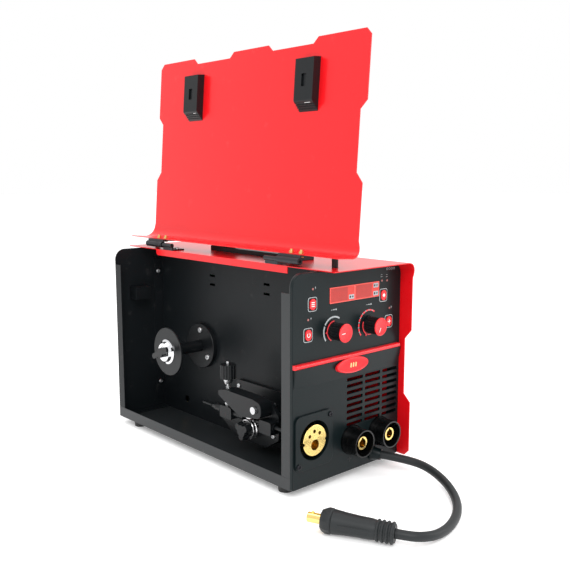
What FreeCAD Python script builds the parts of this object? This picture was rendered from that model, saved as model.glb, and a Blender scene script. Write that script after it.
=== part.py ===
"""MIG welding machine with an open wire compartment, built as separate solids.

Millimetres. +Z is up, the control panel faces -Y and the wire compartment is on the -X side.
The origin is on the floor, under the middle of the case.
The door is modelled closed and then turned to its open rest position.
"""
import FreeCAD
import Part
import math
import os

V = FreeCAD.Vector
AXIS_X = V(1, 0, 0)
AXIS_Y = V(0, 1, 0)
AXIS_Z = V(0, 0, 1)

# ---- driving dimensions: case ----
body_width = 224.0
body_length = 446.0
body_height = 299.0
foot_height = 12.0
foot_radius = 12.0
sheet = 1.2
bend_radius = 18.0
roof_overhang = 33.0
side_overhang = 27.0
waist_depth = 12.0
flange_width = 17.0
partition_flange = 8.0
corner_strip = 18.0
frame_gap = 0.5
flange_relief = 0.3
panel_proud = 5.0
panel_wall = 3.0
compartment_depth = 96.0
roof_opening = 51.0
cover_chamfer = 8.0

# ---- side outline shared by the door and the right cover, heights above the tray ----
waist_top_start = 196.0
waist_top_end = 182.0
waist_low_start = 97.0
waist_low_end = 85.0
roof_slant = 25.0

# ---- door ----
door_drop = 9.5
door_strip_gap = 5.0
door_lug_depth = 9.0
door_recess_inner = 52.0
door_recess_outer = 140.0
hinge_height = 8.5
door_open_angle = 184.3
barrel_radius = 5.0
pin_radius = 2.0
running_gap = 0.06
leaf_thickness = 2.0
leaf_width = 24.0
door_knuckle = 46.0
roof_knuckle = 27.0
roof_barrel_radius = 3.5
knuckle_gap = 0.5
hinge_junctions = ((-144.0, -1), (148.0, 1))
hinge_screw_reach = 14.0
hinge_screw_spacing = 20.0
door_pads = ((36.0, -222.0), (31.0, 212.0))
door_pad_radius = 4.5
door_pad_gap = 0.35
lip_depth = 10.5
lip_ends = (-164.0, 169.0)

# ---- latches ----
latch_spacing = 276.0
latch_width = 38.0
latch_depth = 13.5
latch_base = 31.0
latch_length = 76.0
latch_wall = 2.5
bezel = 2.0
slider_gap = 0.4
tongue_width = 16.0
tongue_thickness = 3.0
latch_travel = 11.0

# ---- control panel ----
wire_x = -71.0
wire_z = 74.0
torch_z = 77.0
control_opening_low = 204.0
window_center = (10.2, 273.8)
window_size = (102.0, 22.0)
button_centers = (("button_mode", -74.0, 266.2), ("button_purge", -82.0, 225.2),
                  ("button_select", 71.0, 263.2), ("button_trigger", 84.0, 222.7))
button_width = 11.0
button_height = 15.0
button_gap = 0.3
button_travel = 1.0
button_proud = 1.5
knob_centers = (("knob_left", -32.5, 224.5), ("knob_right", 40.0, 223.5))
knob_radius = 13.2
knob_length = 21.5
knob_lift = 1.0
stem_radius = 3.0
lamp_centers = ((-73.5, 286.8), (-82.0, 246.0), (85.5, 242.4), (67.5, 285.0), (79.0, 284.2))
lamp_radius = 1.6
trim_height = 6.0
trim_center = 185.0
trim_proud = 7.0
chin_proud = 5.0
chin_base = 154.0
grille_columns = 3
grille_rows = 8
grille_pitch = (38.3, 9.5)
grille_slot = (33.5, 5.0)
grille_center = (50.8, 115.5)
grille_margin = 2.0

# ---- carry handle ----
handle_x = 8.0
handle_center_y = -23.0
handle_length = 222.0
handle_width = 26.0
handle_rise = 46.0
handle_base = 7.0
handle_screw_reach = 101.0

# ---- output sockets ----
torch_plate_thickness = 3.0
torch_face_proud = 0.5
torch_well_depth = 22.0
torch_bore_drop = 6.5
torch_plate = (71.0, 77.0)
torch_hole_radius = 28.0
torch_body_radius = 22.0
torch_bore_radius = 7.5
socket_centers = (("positive", 6.0), ("negative", 65.0))
socket_height = 59.0
socket_radius = 20.0
socket_length = 27.0
socket_wall = 2.0
insert_radius = 9.5
insert_bore = 6.6
outlet_x = 55.0
outlet_z = 27.0
cable_radius = 6.0
plug_length = 92.0
plug_pin_radius = 6.3

# ---- spool holder ----
spool_y = 98.0
spool_z = 147.0
spool_flange_radius = 38.5
spool_flange_thickness = 8.0
spindle_radius = 6.0
hub_radius = 10.0
disc_radius = 40.0
disc_thickness = 4.0
disc_outer_x = -90.0

# ---- wire feeder ----
roll_y = -92.0
roll_radius = 15.5
roll_width = 12.0
pressure_radius = 11.0
arm_pivot_y = -121.0
arm_pivot_z = 97.0
lever_y = -40.0
lever_z = 86.0
lever_rod_radius = 2.5
carrier_thickness = 6.0
tension_knob_radius = 12.5
tension_knob_height = 22.0
tension_knob_seat = 40.3
liner_radius = 3.0
motor_radius = 31.0

# ---- power compartment ----
rocker_tilt = -6.0
switch_place = (-69.0, 231.0)
gland_place = (70.0, 52.0)
gland_thread = 10.0
mains_cord_radius = 5.5
gas_place = (10.0, 45.0)
gas_stem = 6.0
fan_size = 120.0
fan_depth = 25.0
fan_x = 46.0
fan_z = 165.0

# ---- derived planes ----
x_left = -body_width / 2
x_right = body_width / 2
y_front = -body_length / 2
y_rear = body_length / 2
z_tray = foot_height
z_floor = z_tray + sheet
z_roof = z_tray + body_height
frame_left = x_left + sheet + frame_gap
frame_right = x_right - sheet
frame_top = z_roof - sheet - frame_gap
panel_face = y_front - panel_proud
panel_back = panel_face + panel_wall
sheet_back = y_front + sheet
rear_inner = y_rear - sheet
partition_x = x_left + compartment_depth
partition_back = partition_x + sheet
hinge_x = x_left + roof_opening
hinge_z = z_roof + hinge_height
board_y = sheet_back + 6.0
board_thickness = 1.6
carrier_x = wire_x + roll_width / 2 + 1.5
far = 1000.0


# ---- helpers ----
def box(x0, x1, y0, y1, z0, z1):
    return Part.makeBox(x1 - x0, y1 - y0, z1 - z0, V(x0, y0, z0))


def rod(x, y, z, axis, radius, length):
    return Part.makeCylinder(radius, length, V(x, y, z), axis)


def cone(x, y, z, axis, start_radius, end_radius, length):
    return Part.makeCone(start_radius, end_radius, length, V(x, y, z), axis)


def rounded_wire(points):
    """Closed wire through (vector, corner radius) points, with a tangent arc at each rounded corner."""
    edges = []
    spans = []
    count = len(points)
    for index, (corner, radius) in enumerate(points):
        before = (points[index - 1][0] - corner).normalize()
        after = (points[(index + 1) % count][0] - corner).normalize()
        if radius <= 0:
            spans.append((corner, None, corner))
            continue
        half = before.getAngle(after) / 2
        reach = radius / math.tan(half)
        middle = (before + after).normalize()
        apex = corner + middle * (radius / math.sin(half) - radius)
        spans.append((corner + before * reach, apex, corner + after * reach))
    for index, (start, apex, end) in enumerate(spans):
        if apex is not None:
            edges.append(Part.Arc(start, apex, end).toShape())
        follower = spans[(index + 1) % count][0]
        if end.distanceToPoint(follower) > 1e-6:
            edges.append(Part.LineSegment(end, follower).toShape())
    return Part.Wire(edges)


def prism_y(outline, y0, y1):
    """Solid from an (x, z[, radius]) outline, between two planes across Y."""
    points = [(V(p[0], y0, p[1]), p[2] if len(p) > 2 else 0) for p in outline]
    return Part.Face(rounded_wire(points)).extrude(V(0, y1 - y0, 0))


def prism_x(outline, x0, x1):
    """Solid from a (y, z[, radius]) outline, between two planes across X."""
    points = [(V(x0, p[0], p[1]), p[2] if len(p) > 2 else 0) for p in outline]
    return Part.Face(rounded_wire(points)).extrude(V(x1 - x0, 0, 0))


def prism_z(outline, z0, z1):
    """Solid from an (x, y[, radius]) outline, between two planes across Z."""
    points = [(V(p[0], p[1], z0), p[2] if len(p) > 2 else 0) for p in outline]
    return Part.Face(rounded_wire(points)).extrude(V(0, 0, z1 - z0))


def hexagon(cx, cy, radius):
    """Corner points of a nut about a centre in the plane that it is extruded from."""
    angles = [math.radians(60 * k) for k in range(6)]
    return [(cx + radius * math.cos(angle), cy + radius * math.sin(angle)) for angle in angles]


def rectangle(x0, x1, z0, z1, radius=0):
    return [(x0, z0, radius), (x1, z0, radius), (x1, z1, radius), (x0, z1, radius)]


def slab_y(cx, cz, width, height, radius, y0, y1):
    """Rounded rectangle centred on (cx, cz), between two planes across Y."""
    outline = rectangle(cx - width / 2, cx + width / 2, cz - height / 2, cz + height / 2, radius)
    return prism_y(outline, y0, y1)


def oval_y(cx, cz, width, height, y0, y1):
    """Upright rounded slot shape, as wide as its round ends."""
    return slab_y(cx, cz, width, height, width / 2 - 0.01, y0, y1)


def lathe(profile, origin, axis):
    """Turned solid: (distance along the axis, radius) points spun about the axis."""
    side = V(0, 0, 1) if abs(axis.z) < 0.9 else V(1, 0, 0)
    side = (side - axis * side.dot(axis)).normalize()
    points = [origin + axis * along + side * radius for along, radius in profile]
    face = Part.Face(Part.makePolygon(points + [points[0]]))
    return face.revolve(origin, axis, 360)


def pan_screw(point, axis, radius, length):
    """Pan-head screw: the head stands off the surface at the point, the shank runs along the axis."""
    head = Part.makeCylinder(radius * 1.9, radius * 1.1, point - axis * (radius * 1.1), axis)
    head = head.makeFillet(radius * 0.6, [head.Edges[2] if head.Edges[2].Length > 1e-6 else head.Edges[0]])
    slot = Part.makeBox(radius * 2.4, radius * 0.5, radius * 0.6)
    slot.translate(V(-radius * 1.2, -radius * 0.25, 0))
    cross = slot.fuse(slot.rotated(V(0, 0, 0), AXIS_Z, 90))
    turn = FreeCAD.Rotation(AXIS_Z, axis)
    cross.Placement = FreeCAD.Placement(point - axis * (radius * 1.1), turn).multiply(cross.Placement)
    shank = Part.makeCylinder(radius, length, point, axis)
    return head.cut(cross).fuse(shank).removeSplitter()


def compound(solids):
    return Part.makeCompound(solids)


def single(shape):
    """The one solid inside a boolean result."""
    return shape.removeSplitter().Solids[0]


# ---- case ----
def foot_points():
    """Feet positions under the tray."""
    inset_x = 20.0
    inset_front = 28.0
    inset_rear = 40.0
    sides = (x_left + inset_x, x_right - inset_x)
    ends = (y_front + inset_front, y_rear - inset_rear)
    return [(x, y) for x in sides for y in ends]


def base_tray():
    tray = box(frame_left, frame_right, sheet_back, rear_inner, z_tray, z_floor)
    for x0 in (frame_left, frame_right - sheet):
        tray = tray.fuse(box(x0, x0 + sheet, sheet_back, rear_inner, z_tray, z_tray + flange_width))
    for x, y in foot_points():
        tray = tray.cut(rod(x, y, z_tray - 1, AXIS_Z, 2.3, sheet + 2))
    for index in range(6):
        y = -60 + index * 22.0
        tray = tray.cut(box(30, 80, y, y + 6, z_tray - 1, z_floor + 1))
    return single(tray)


def frame_plate(y0, y1):
    outline = [(frame_left, z_tray), (frame_right, z_tray), (frame_right, frame_top, bend_radius),
               (frame_left, frame_top, bend_radius)]
    return prism_y(outline, y0, y1)


def frame_flanges(plate, y0, y1):
    """Side, top and bottom returns of a front or rear sheet frame."""
    low = z_tray + flange_width + flange_relief
    high = frame_top - bend_radius - 8.0
    plate = plate.fuse(box(frame_left, frame_left + sheet, y0, y1, low, high))
    plate = plate.fuse(box(frame_right - sheet, frame_right, y0, y1, low, high))
    plate = plate.fuse(box(frame_left + 5, frame_right - 5, y0, y1, z_floor, z_floor + sheet))
    return plate.fuse(box(partition_back + flange_width, frame_right - bend_radius - 3, y0, y1,
                          frame_top - sheet, frame_top))


def grille_slots(y0, y1):
    slots = []
    for column in range(grille_columns):
        for row in range(grille_rows):
            cx = grille_center[0] + (column - (grille_columns - 1) / 2) * grille_pitch[0]
            cz = grille_center[1] + (row - (grille_rows - 1) / 2) * grille_pitch[1]
            slots.append(slab_y(cx, cz, grille_slot[0], grille_slot[1], 1.5, y0, y1))
    return slots


def front_frame():
    frame = frame_flanges(frame_plate(y_front, sheet_back), sheet_back, y_front + flange_width)
    y0 = y_front - 1
    y1 = sheet_back + 1
    control = rectangle(x_left + 17, x_right - 15, control_opening_low, frame_top - 15, 4)
    openings = [prism_y(control, y0, y1)]
    width = (grille_columns - 1) * grille_pitch[0] + grille_slot[0] + 2 * grille_margin
    height = (grille_rows - 1) * grille_pitch[1] + grille_slot[1] + 2 * grille_margin
    openings.append(slab_y(grille_center[0], grille_center[1], width, height, 2, y0, y1))
    openings.append(rod(wire_x, y0, torch_z, AXIS_Y, torch_hole_radius + 3.5, y1 - y0))
    for name, x in socket_centers:
        openings.append(rod(x, y0, socket_height, AXIS_Y, 13.0, y1 - y0))
    openings.append(rod(outlet_x, y0, outlet_z, AXIS_Y, 8.3, y1 - y0))
    for opening in openings:
        frame = frame.cut(opening)
    return single(drilled(frame))


def front_moulding():
    low = z_tray + 0.5
    outline = [(frame_left, low, 3), (frame_right, low, 3), (frame_right, frame_top, bend_radius),
               (frame_left, frame_top, bend_radius)]
    shell = prism_y(outline, panel_face, y_front)
    front_edges = [e for e in shell.Edges if max(v.Y for v in e.Vertexes) < panel_face + 0.01]
    shell = shell.makeFillet(1.2, front_edges)
    inner_left = frame_left + panel_wall
    inner_right = frame_right - panel_wall
    inner_top = frame_top - panel_wall
    inner_bend = bend_radius - panel_wall
    inner = [(inner_left, low + panel_wall, 2), (inner_right, low + panel_wall, 2),
             (inner_right, inner_top, inner_bend), (inner_left, inner_top, inner_bend)]
    shell = shell.cut(prism_y(inner, panel_back, y_front + 1))
    trim_low = trim_center - trim_height / 2
    chin = [(panel_face + 0.5, chin_base - 3), (panel_face, chin_base), (panel_face - chin_proud, trim_low),
            (panel_face + 0.5, trim_low)]
    shell = shell.fuse(prism_x(chin, frame_left + 2, frame_right - 3))
    y0 = panel_face - 8
    y1 = panel_back + 1
    cuts = grille_slots(y0, y1)
    width, height = window_size
    cuts.append(slab_y(window_center[0], window_center[1], width + 1, height + 1, 1.5, y0, y1))
    for name, x, z in button_centers:
        cuts.append(oval_y(x, z, button_width + 2 * button_gap, button_height + 2 * button_gap, y0, y1))
    for name, x, z in knob_centers:
        cuts.append(rod(x, y0, z, AXIS_Y, stem_radius + 0.5, y1 - y0))
    for x, z in lamp_centers:
        cuts.append(rod(x, y0, z, AXIS_Y, lamp_radius, y1 - y0))
    cuts.append(rod(wire_x, y0, torch_z, AXIS_Y, torch_hole_radius + 3.2, y1 - y0))
    for name, x in socket_centers:
        cuts.append(rod(x, y0, socket_height, AXIS_Y, 12.8, y1 - y0))
    cuts.append(rod(outlet_x, y0, outlet_z, AXIS_Y, 8.1, y1 - y0))
    for tool in cuts:
        shell = shell.cut(tool)
    return single(drilled(shell))


def trim_bar():
    x0 = frame_left + 0.3
    x1 = frame_right - 7
    y_round = panel_face - trim_proud + trim_height / 2
    bar = box(x0, x1, y_round, panel_face, trim_center - trim_height / 2, trim_center + trim_height / 2)
    bar = bar.fuse(rod(x0, y_round, trim_center, AXIS_X, trim_height / 2, x1 - x0))
    return single(bar)


def display_window():
    y0 = panel_face - 0.3
    width, height = window_size
    return slab_y(window_center[0], window_center[1], width, height, 1.2, y0, panel_back - 0.5)


def rear_panel():
    panel = frame_flanges(frame_plate(rear_inner, y_rear), y_rear - flange_width, rear_inner)
    y0 = rear_inner - 1
    y1 = y_rear + 1
    panel = panel.cut(rod(fan_x, y0, fan_z, AXIS_Y, fan_size / 2 - 4, y1 - y0))
    x, z = switch_place
    panel = panel.cut(box(x - 15, x + 15, y0, y1, z - 11, z + 11))
    x, z = gland_place
    panel = panel.cut(rod(x, y0, z, AXIS_Y, gland_thread + 0.2, y1 - y0))
    x, z = gas_place
    panel = panel.cut(rod(x, y0, z, AXIS_Y, gas_stem + 0.2, y1 - y0))
    return single(drilled(panel))


def partition():
    """Sheet wall with narrow returns on the power side, and a strip in the compartment's rear corner."""
    y0 = y_front + flange_width + 0.5
    y1 = y_rear - flange_width - 0.5
    z_clear = z_floor + sheet
    wall = box(partition_x, partition_back, sheet_back, rear_inner, z_clear, frame_top)
    wall = wall.fuse(box(partition_x, partition_back, y0, y1, z_floor, z_clear))
    x_return = partition_back + partition_flange
    low = 30
    high = frame_top - 20
    wall = wall.fuse(box(partition_x, x_return, y0, y1, z_floor, z_clear))
    wall = wall.fuse(box(partition_x, x_return, y0, y1, frame_top - sheet, frame_top))
    wall = wall.fuse(box(partition_x, x_return, sheet_back, sheet_back + sheet, low, high))
    strip = box(partition_x - corner_strip, partition_x, rear_inner - sheet, rear_inner, low, high)
    x0 = partition_x - 1
    span = sheet + 2
    for y in (70.0, -68.0):
        for z in (270.0, 255.0):
            wall = wall.cut(box(x0, x0 + span, y - 7, y + 7, z - 2, z + 2))
    wall = wall.cut(rod(x0, spool_y, spool_z, AXIS_X, spindle_radius + 0.3, span))
    wall = wall.cut(rod(x0, roll_y, wire_z - roll_radius, AXIS_X, 16.0, span))
    wall = wall.cut(rod(x0, 150, 40, AXIS_X, 6.0, span))
    board_notch = box(x0, x_return + 1, y_front, board_y + 14, control_opening_low - 2, frame_top - 13)
    wall = wall.cut(board_notch)
    for name, x in socket_centers:
        wall = wall.cut(rod(x, y_front, socket_height, AXIS_Y, 18.0, 6))
    return compound([single(drilled(wall)), drilled(strip)])


def side_outline(bottom_points):
    """(y, z) outline of a side: roof overhang, slanted shoulder, lugs, waist and the given bottom edge."""
    end = body_length / 2 + side_overhang
    tip = body_length / 2 + roof_overhang
    waist = end - waist_depth
    shoulder = [(tip, z_roof + 1), (tip, z_roof - 3), (end, z_roof - roof_slant),
                (end, z_tray + waist_top_start), (waist, z_tray + waist_top_end),
                (waist, z_tray + waist_low_start), (end, z_tray + waist_low_end)]
    right = shoulder + [(y, z) for y, z in bottom_points]
    left = [(-y, z) for y, z in reversed(right)]
    return right + left


def right_cover():
    bottom = z_tray + 1
    end = body_length / 2 + side_overhang
    inner = bend_radius - sheet
    tip = body_length / 2 + roof_overhang
    section = [(hinge_x, z_roof), (x_right, z_roof, bend_radius), (x_right, bottom),
               (x_right - sheet, bottom), (x_right - sheet, z_roof - sheet, inner),
               (hinge_x, z_roof - sheet)]
    cover = prism_y(section, -tip, tip)
    outline = side_outline([(end, bottom + cover_chamfer), (end - cover_chamfer, bottom)])
    cover = cover.common(prism_x([(y, z) for y, z in outline], x_left - 1, x_right + 1))
    lip_front, lip_rear = lip_ends
    lip = [(lip_front, z_roof - 0.1), (lip_front, z_roof - lip_depth), (lip_rear, z_roof - lip_depth, 5),
           (lip_rear, z_roof - 0.1)]
    cover = cover.fuse(prism_x(lip, hinge_x, hinge_x + sheet))
    for row in range(12):
        for column in range(2):
            y = 20 + column * 80
            z = 110 + row * 11
            cover = cover.cut(box(frame_right - 1, x_right + 1, y, y + 64, z, z + 4.5))
    return single(drilled(cover))


def door_pad_height(reach):
    """Height of a roof pad that leaves a small gap under the open door's strip."""
    tilt = math.radians(door_open_angle - 180)
    along = (reach + door_pad_radius - hinge_height * math.sin(tilt)) / math.cos(tilt)
    return hinge_height * (1 + math.cos(tilt)) - along * math.sin(tilt) - door_pad_gap


def rubber_pads():
    pads = []
    for x, y in foot_points():
        foot = cone(x, y, 0, AXIS_Z, foot_radius - 1.5, foot_radius, z_tray)
        foot = foot.cut(rod(x, y, -1, AXIS_Z, 5.0, 5.0))
        pads.append(foot.cut(rod(x, y, 0, AXIS_Z, 2.3, z_tray + 1)))
    for reach, y in door_pads:
        pads.append(rod(hinge_x + reach, y, z_roof, AXIS_Z, door_pad_radius, door_pad_height(reach)))
    return compound(pads)


def carry_handle():
    """Strap handle along the roof: a flat base with a raised grip."""
    half = handle_length / 2
    x = handle_x
    side = handle_width / 2
    y = handle_center_y
    base_top = z_roof + handle_base
    top = z_roof + handle_rise
    outer = [(y - half, z_roof, 1), (y + half, z_roof, 1), (y + half, base_top, 3),
             (y + half - 34, top, 16), (y - half + 34, top, 16), (y - half, base_top, 3)]
    inner = [(y - half + 30, base_top, 4), (y + half - 30, base_top, 4), (y + half - 50, top - 14, 8),
             (y - half + 50, top - 14, 8)]
    solid = prism_x(outer, x - side, x + side).cut(prism_x(inner, x - side - 1, x + side + 1))
    for end in (-1, 1):
        solid = solid.cut(rod(x, y + end * handle_screw_reach, z_roof + 5, AXIS_Z, 5.0, 30))
    return single(drilled(solid))


# ---- door, hinges and latches, modelled closed ----
def open_door(shape):
    """Turn a closed-door shape to its open rest position."""
    return shape.rotated(V(hinge_x, 0, hinge_z), AXIS_Y, door_open_angle)


def latch_centers():
    return (("front", -latch_spacing / 2), ("rear", latch_spacing / 2))


def door():
    bottom = z_tray - door_drop
    recess = bottom + door_lug_depth
    end = body_length / 2 + side_overhang
    tip = body_length / 2 + roof_overhang
    inner = bend_radius - sheet
    strip_edge = hinge_x - door_strip_gap
    section = [(strip_edge, z_roof), (strip_edge, z_roof - sheet),
               (x_left + sheet, z_roof - sheet, inner), (x_left + sheet, bottom),
               (x_left, bottom), (x_left, z_roof, bend_radius)]
    solid = prism_y(section, -tip, tip)
    outline = side_outline([(end, recess), (end - door_lug_depth, bottom),
                            (door_recess_outer + 10, bottom), (door_recess_outer, recess),
                            (door_recess_inner, recess), (door_recess_inner - 10, bottom)])
    solid = solid.common(prism_x(outline, x_left - 1, x_right + 1))
    for name, y in latch_centers():
        solid = solid.cut(box(x_left - 1, x_left + 2, y - latch_width / 2 + 3, y + latch_width / 2 - 3,
                              latch_base + 8, latch_base + latch_length - 8))
    for y in screw_points(door_leaf_spans()):
        solid = solid.cut(rod(hinge_x - hinge_screw_reach, y, z_roof - 5, AXIS_Z, 2.2, 10))
    return single(solid)


def door_leaf_spans():
    """(start, end) along Y of each door leaf: both run outward from their junction."""
    return [tuple(sorted((junction, junction + outward * door_knuckle)))
            for junction, outward in hinge_junctions]


def roof_leaf_spans():
    """(start, end) along Y of each roof leaf: both run inward from their junction."""
    spans = []
    for junction, outward in hinge_junctions:
        near = junction - outward * knuckle_gap
        spans.append(tuple(sorted((near, near - outward * roof_knuckle))))
    return spans


def screw_points(spans, spacing=hinge_screw_spacing):
    """Y of the two screws in each hinge leaf."""
    points = []
    for start, end in spans:
        middle = (start + end) / 2
        points += [middle - spacing / 2, middle + spacing / 2]
    return points


def hinge_leaf(y0, y1, side):
    """Leaf plate on the roof side (+1) or the door side (-1), with a web up to its knuckle."""
    x_far = hinge_x + side * leaf_width
    x_web = hinge_x + side * 2.5
    plate = box(min(hinge_x, x_far), max(hinge_x, x_far), y0, y1, z_roof, z_roof + leaf_thickness)
    web = box(min(hinge_x, x_web), max(hinge_x, x_web), y0, y1, z_roof, hinge_z)
    barrel = barrel_radius if side < 0 else roof_barrel_radius
    bore = pin_radius + running_gap if side < 0 else pin_radius
    leaf = plate.fuse(web).fuse(rod(hinge_x, y0, hinge_z, AXIS_Y, barrel, y1 - y0))
    return leaf.cut(rod(hinge_x, y0 - 1, hinge_z, AXIS_Y, bore, y1 - y0 + 2))


def hinge_roof_leaves():
    leaves = []
    for start, end in roof_leaf_spans():
        leaves.append(single(drilled(hinge_leaf(start, end, 1))))
    return compound(leaves)


def hinge_door_leaves():
    leaves = []
    for start, end in door_leaf_spans():
        leaf = hinge_leaf(start, end, -1)
        for y in screw_points([(start, end)]):
            leaf = leaf.cut(rod(hinge_x - hinge_screw_reach, y, z_roof - 1, AXIS_Z, 2.2, 5))
        leaves.append(single(leaf))
    return open_door(compound(leaves))


def hinge_pins():
    pins = []
    for door_span, roof_span in zip(door_leaf_spans(), roof_leaf_spans()):
        start = min(door_span[0] + 2, roof_span[0])
        end = max(door_span[1] - 2, roof_span[1])
        pins.append(rod(hinge_x, start, hinge_z, AXIS_Y, pin_radius, end - start))
    return compound(pins)


def hinge_door_screws():
    solids = []
    x = hinge_x - hinge_screw_reach
    for y in screw_points(door_leaf_spans()):
        top = z_roof + leaf_thickness
        solids.append(pan_screw(V(x, y, top), V(0, 0, -1), 2.0, 9.0))
        nut = prism_z(hexagon(x, y, 4), z_roof - sheet - 3.2, z_roof - sheet)
        solids.append(nut.cut(rod(x, y, z_roof - 10, AXIS_Z, 2.0, 10)))
    return open_door(compound(solids))


def latch_housings():
    housings = []
    half = latch_width / 2
    x_in = x_left + sheet
    top = latch_base + latch_length
    for name, y in latch_centers():
        x_out = x_in + latch_depth
        body = prism_y([(x_in, latch_base), (x_out, latch_base + 2), (x_out, top - 14, 4), (x_in, top)],
                       y - half, y + half)
        neck = box(x_left, x_in, y - half + 3.3, y + half - 3.3, latch_base + 8.3, top - 8.3)
        middle = latch_base + latch_length / 2
        frame = slab_x(y, middle, latch_width + 2, latch_length + 2, 3, x_left - bezel, x_left)
        body = body.fuse(neck).fuse(frame)
        inner = half - 3.3 - latch_wall
        pocket = box(x_left - bezel - 1, x_out - latch_wall, y - inner, y + inner,
                     latch_base + 8.3 + latch_wall, top - 8.3 - latch_wall)
        side = tongue_width / 2 + slider_gap
        channel = box(x_in + 1.5, x_in + 1.5 + tongue_thickness + 2 * slider_gap, y - side, y + side,
                      latch_base - 1, latch_base + 20)
        window = box(x_in, x_out + 1, y - 5, y + 5, latch_base + 24, latch_base + 42)
        for drop in (10.0, 7.2, 4.4):
            x_groove = x_in + latch_depth * drop / 14 - 1.8
            z = top - drop
            body = body.cut(box(x_groove, x_out + 1, y - half - 1, y + half + 1, z, z + 1.2))
        housings.append(single(body.cut(pocket).cut(channel).cut(window)))
    return open_door(compound(housings))


def slab_x(cy, cz, width, height, radius, x0, x1):
    outline = rectangle(cy - width / 2, cy + width / 2, cz - height / 2, cz + height / 2, radius)
    return prism_x(outline, x0, x1)


def latch_slider(y):
    """Slider with a finger ridge; it rests unlocked and its tongue drops behind the tray flange."""
    x_in = x_left + sheet
    half = latch_width / 2 - 3.3 - latch_wall - slider_gap
    low = latch_base + 8.3 + latch_wall + latch_travel + slider_gap
    plate_x = x_in + 1.5 + slider_gap
    plate = box(plate_x, x_in + latch_depth - latch_wall - slider_gap, y - half, y + half, low, low + 26)
    ridge = box(x_left - 0.5, x_in + 5, y - half + 3, y + half - 3, low + 10, low + 15)
    side = tongue_width / 2
    tongue = box(plate_x, plate_x + tongue_thickness, y - side, y + side, latch_base + 1, low + 5)
    return open_door(single(plate.fuse(ridge).fuse(tongue)))


# ---- controls ----
def button(x, z):
    y0 = panel_face - button_proud
    cap = oval_y(x, z, button_width, button_height, y0, panel_back + 0.1)
    rim = oval_y(x, z, button_width + 2.4, button_height + 2.4, panel_back + 0.1, panel_back + 1.1)
    stem = rod(x, panel_back + 1, z, AXIS_Y, 2.0, board_y - 1.3 - panel_back - 1)
    return single(cap.fuse(rim).fuse(stem))


def knob(x, z):
    """Fluted knob with a flat face and a stem into its potentiometer."""
    y1 = panel_face - knob_lift
    y0 = y1 - knob_length
    body = cone(x, y0 + 2, z, AXIS_Y, knob_radius - 1.2, knob_radius - 0.6, knob_length - 2)
    body = body.fuse(rod(x, y0, z, AXIS_Y, knob_radius - 0.9, 2.2))
    for index in range(18):
        angle = math.radians(index * 20)
        reach = knob_radius - 0.2
        across = reach * math.cos(angle)
        up = reach * math.sin(angle)
        body = body.cut(rod(x + across, y0 + 3.5, z + up, AXIS_Y, 1.2, knob_length))
    skirt = rod(x, y1 - 2.5, z, AXIS_Y, knob_radius, 2.5)
    stem = rod(x, y1 - 1, z, AXIS_Y, stem_radius, board_y - y1 + board_thickness + 6)
    return single(body.fuse(skirt).fuse(stem))


def circuit_boards():
    """Control board behind the panel and the upright power board in the power compartment."""
    control = box(x_left + 20, x_right - 18, board_y, board_y + board_thickness, 206, 292)
    for name, x, z in knob_centers:
        control = control.cut(rod(x, board_y - 1, z, AXIS_Y, stem_radius + 0.3, 5))
    pots = []
    for name, x, z in knob_centers:
        pot = box(x - 8, x + 8, board_y + board_thickness, board_y + board_thickness + 8, z - 8, z + 8)
        pots.append(pot.cut(rod(x, board_y, z, AXIS_Y, stem_radius + running_gap, 12)))
    power = box(20, 21.6, -120, 140, 120, 280)
    return compound([control, power] + pots)


def heat_sinks():
    sinks = []
    for z in (130.0, 200.0):
        sink = box(24, 30, -110, 90, z, z + 56)
        for fin in range(8):
            z_fin = z + fin * 7.7
            sink = sink.fuse(box(30, 62, -110, 90, z_fin, z_fin + 2))
        sinks.append(single(sink))
    return compound(sinks)


def transformer():
    """Ferrite core with its winding, standing on the tray."""
    core = box(38, 98, 40, 110, z_floor, z_floor + 62).cut(box(52, 84, 30, 120, z_floor + 14, z_floor + 48))
    core = core.fuse(box(61, 75, 40, 110, z_floor + 10, z_floor + 52))
    winding = slab_y(68, z_floor + 31, 30, 33, 6, 46, 104)
    winding = winding.cut(box(61, 75, 30, 120, z_floor + 10, z_floor + 52))
    return compound([single(core), single(winding)])


def fan_frame():
    y0 = rear_inner - fan_depth
    frame = slab_y(fan_x, fan_z, fan_size, fan_size, 6, y0, rear_inner)
    frame = frame.cut(rod(fan_x, y0 - 1, fan_z, AXIS_Y, fan_size / 2 - 3, fan_depth + 2))
    for index in range(4):
        strut = box(fan_x - 3, fan_x + 3, y0, y0 + 3, fan_z, fan_z + fan_size / 2 - 1)
        frame = frame.fuse(strut.rotated(V(fan_x, y0, fan_z), AXIS_Y, 45 + index * 90))
    frame = frame.fuse(rod(fan_x, y0, fan_z, AXIS_Y, 22, 3))
    frame = frame.fuse(rod(fan_x, y0, fan_z, AXIS_Y, 2.5, fan_depth - 6))
    return single(frame)


def fan_rotor():
    y0 = rear_inner - fan_depth + 3.5
    hub = rod(fan_x, y0, fan_z, AXIS_Y, 20, fan_depth - 6)
    for index in range(7):
        blade = box(-1.0, 1.0, 0, fan_depth - 8, 18, fan_size / 2 - 5)
        blade.rotate(V(0, 0, 0), AXIS_Z, 38)
        blade.translate(V(fan_x, y0 + 1, fan_z))
        hub = hub.fuse(blade.rotated(V(fan_x, y0, fan_z), AXIS_Y, index * 360 / 7))
    slab = box(fan_x - 70, fan_x + 70, y0, y0 + fan_depth - 5, fan_z - 70, fan_z + 70)
    return single(hub.common(slab).cut(rod(fan_x, y0 - 1, fan_z, AXIS_Y, 2.5 + running_gap, fan_depth - 8)))


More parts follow.
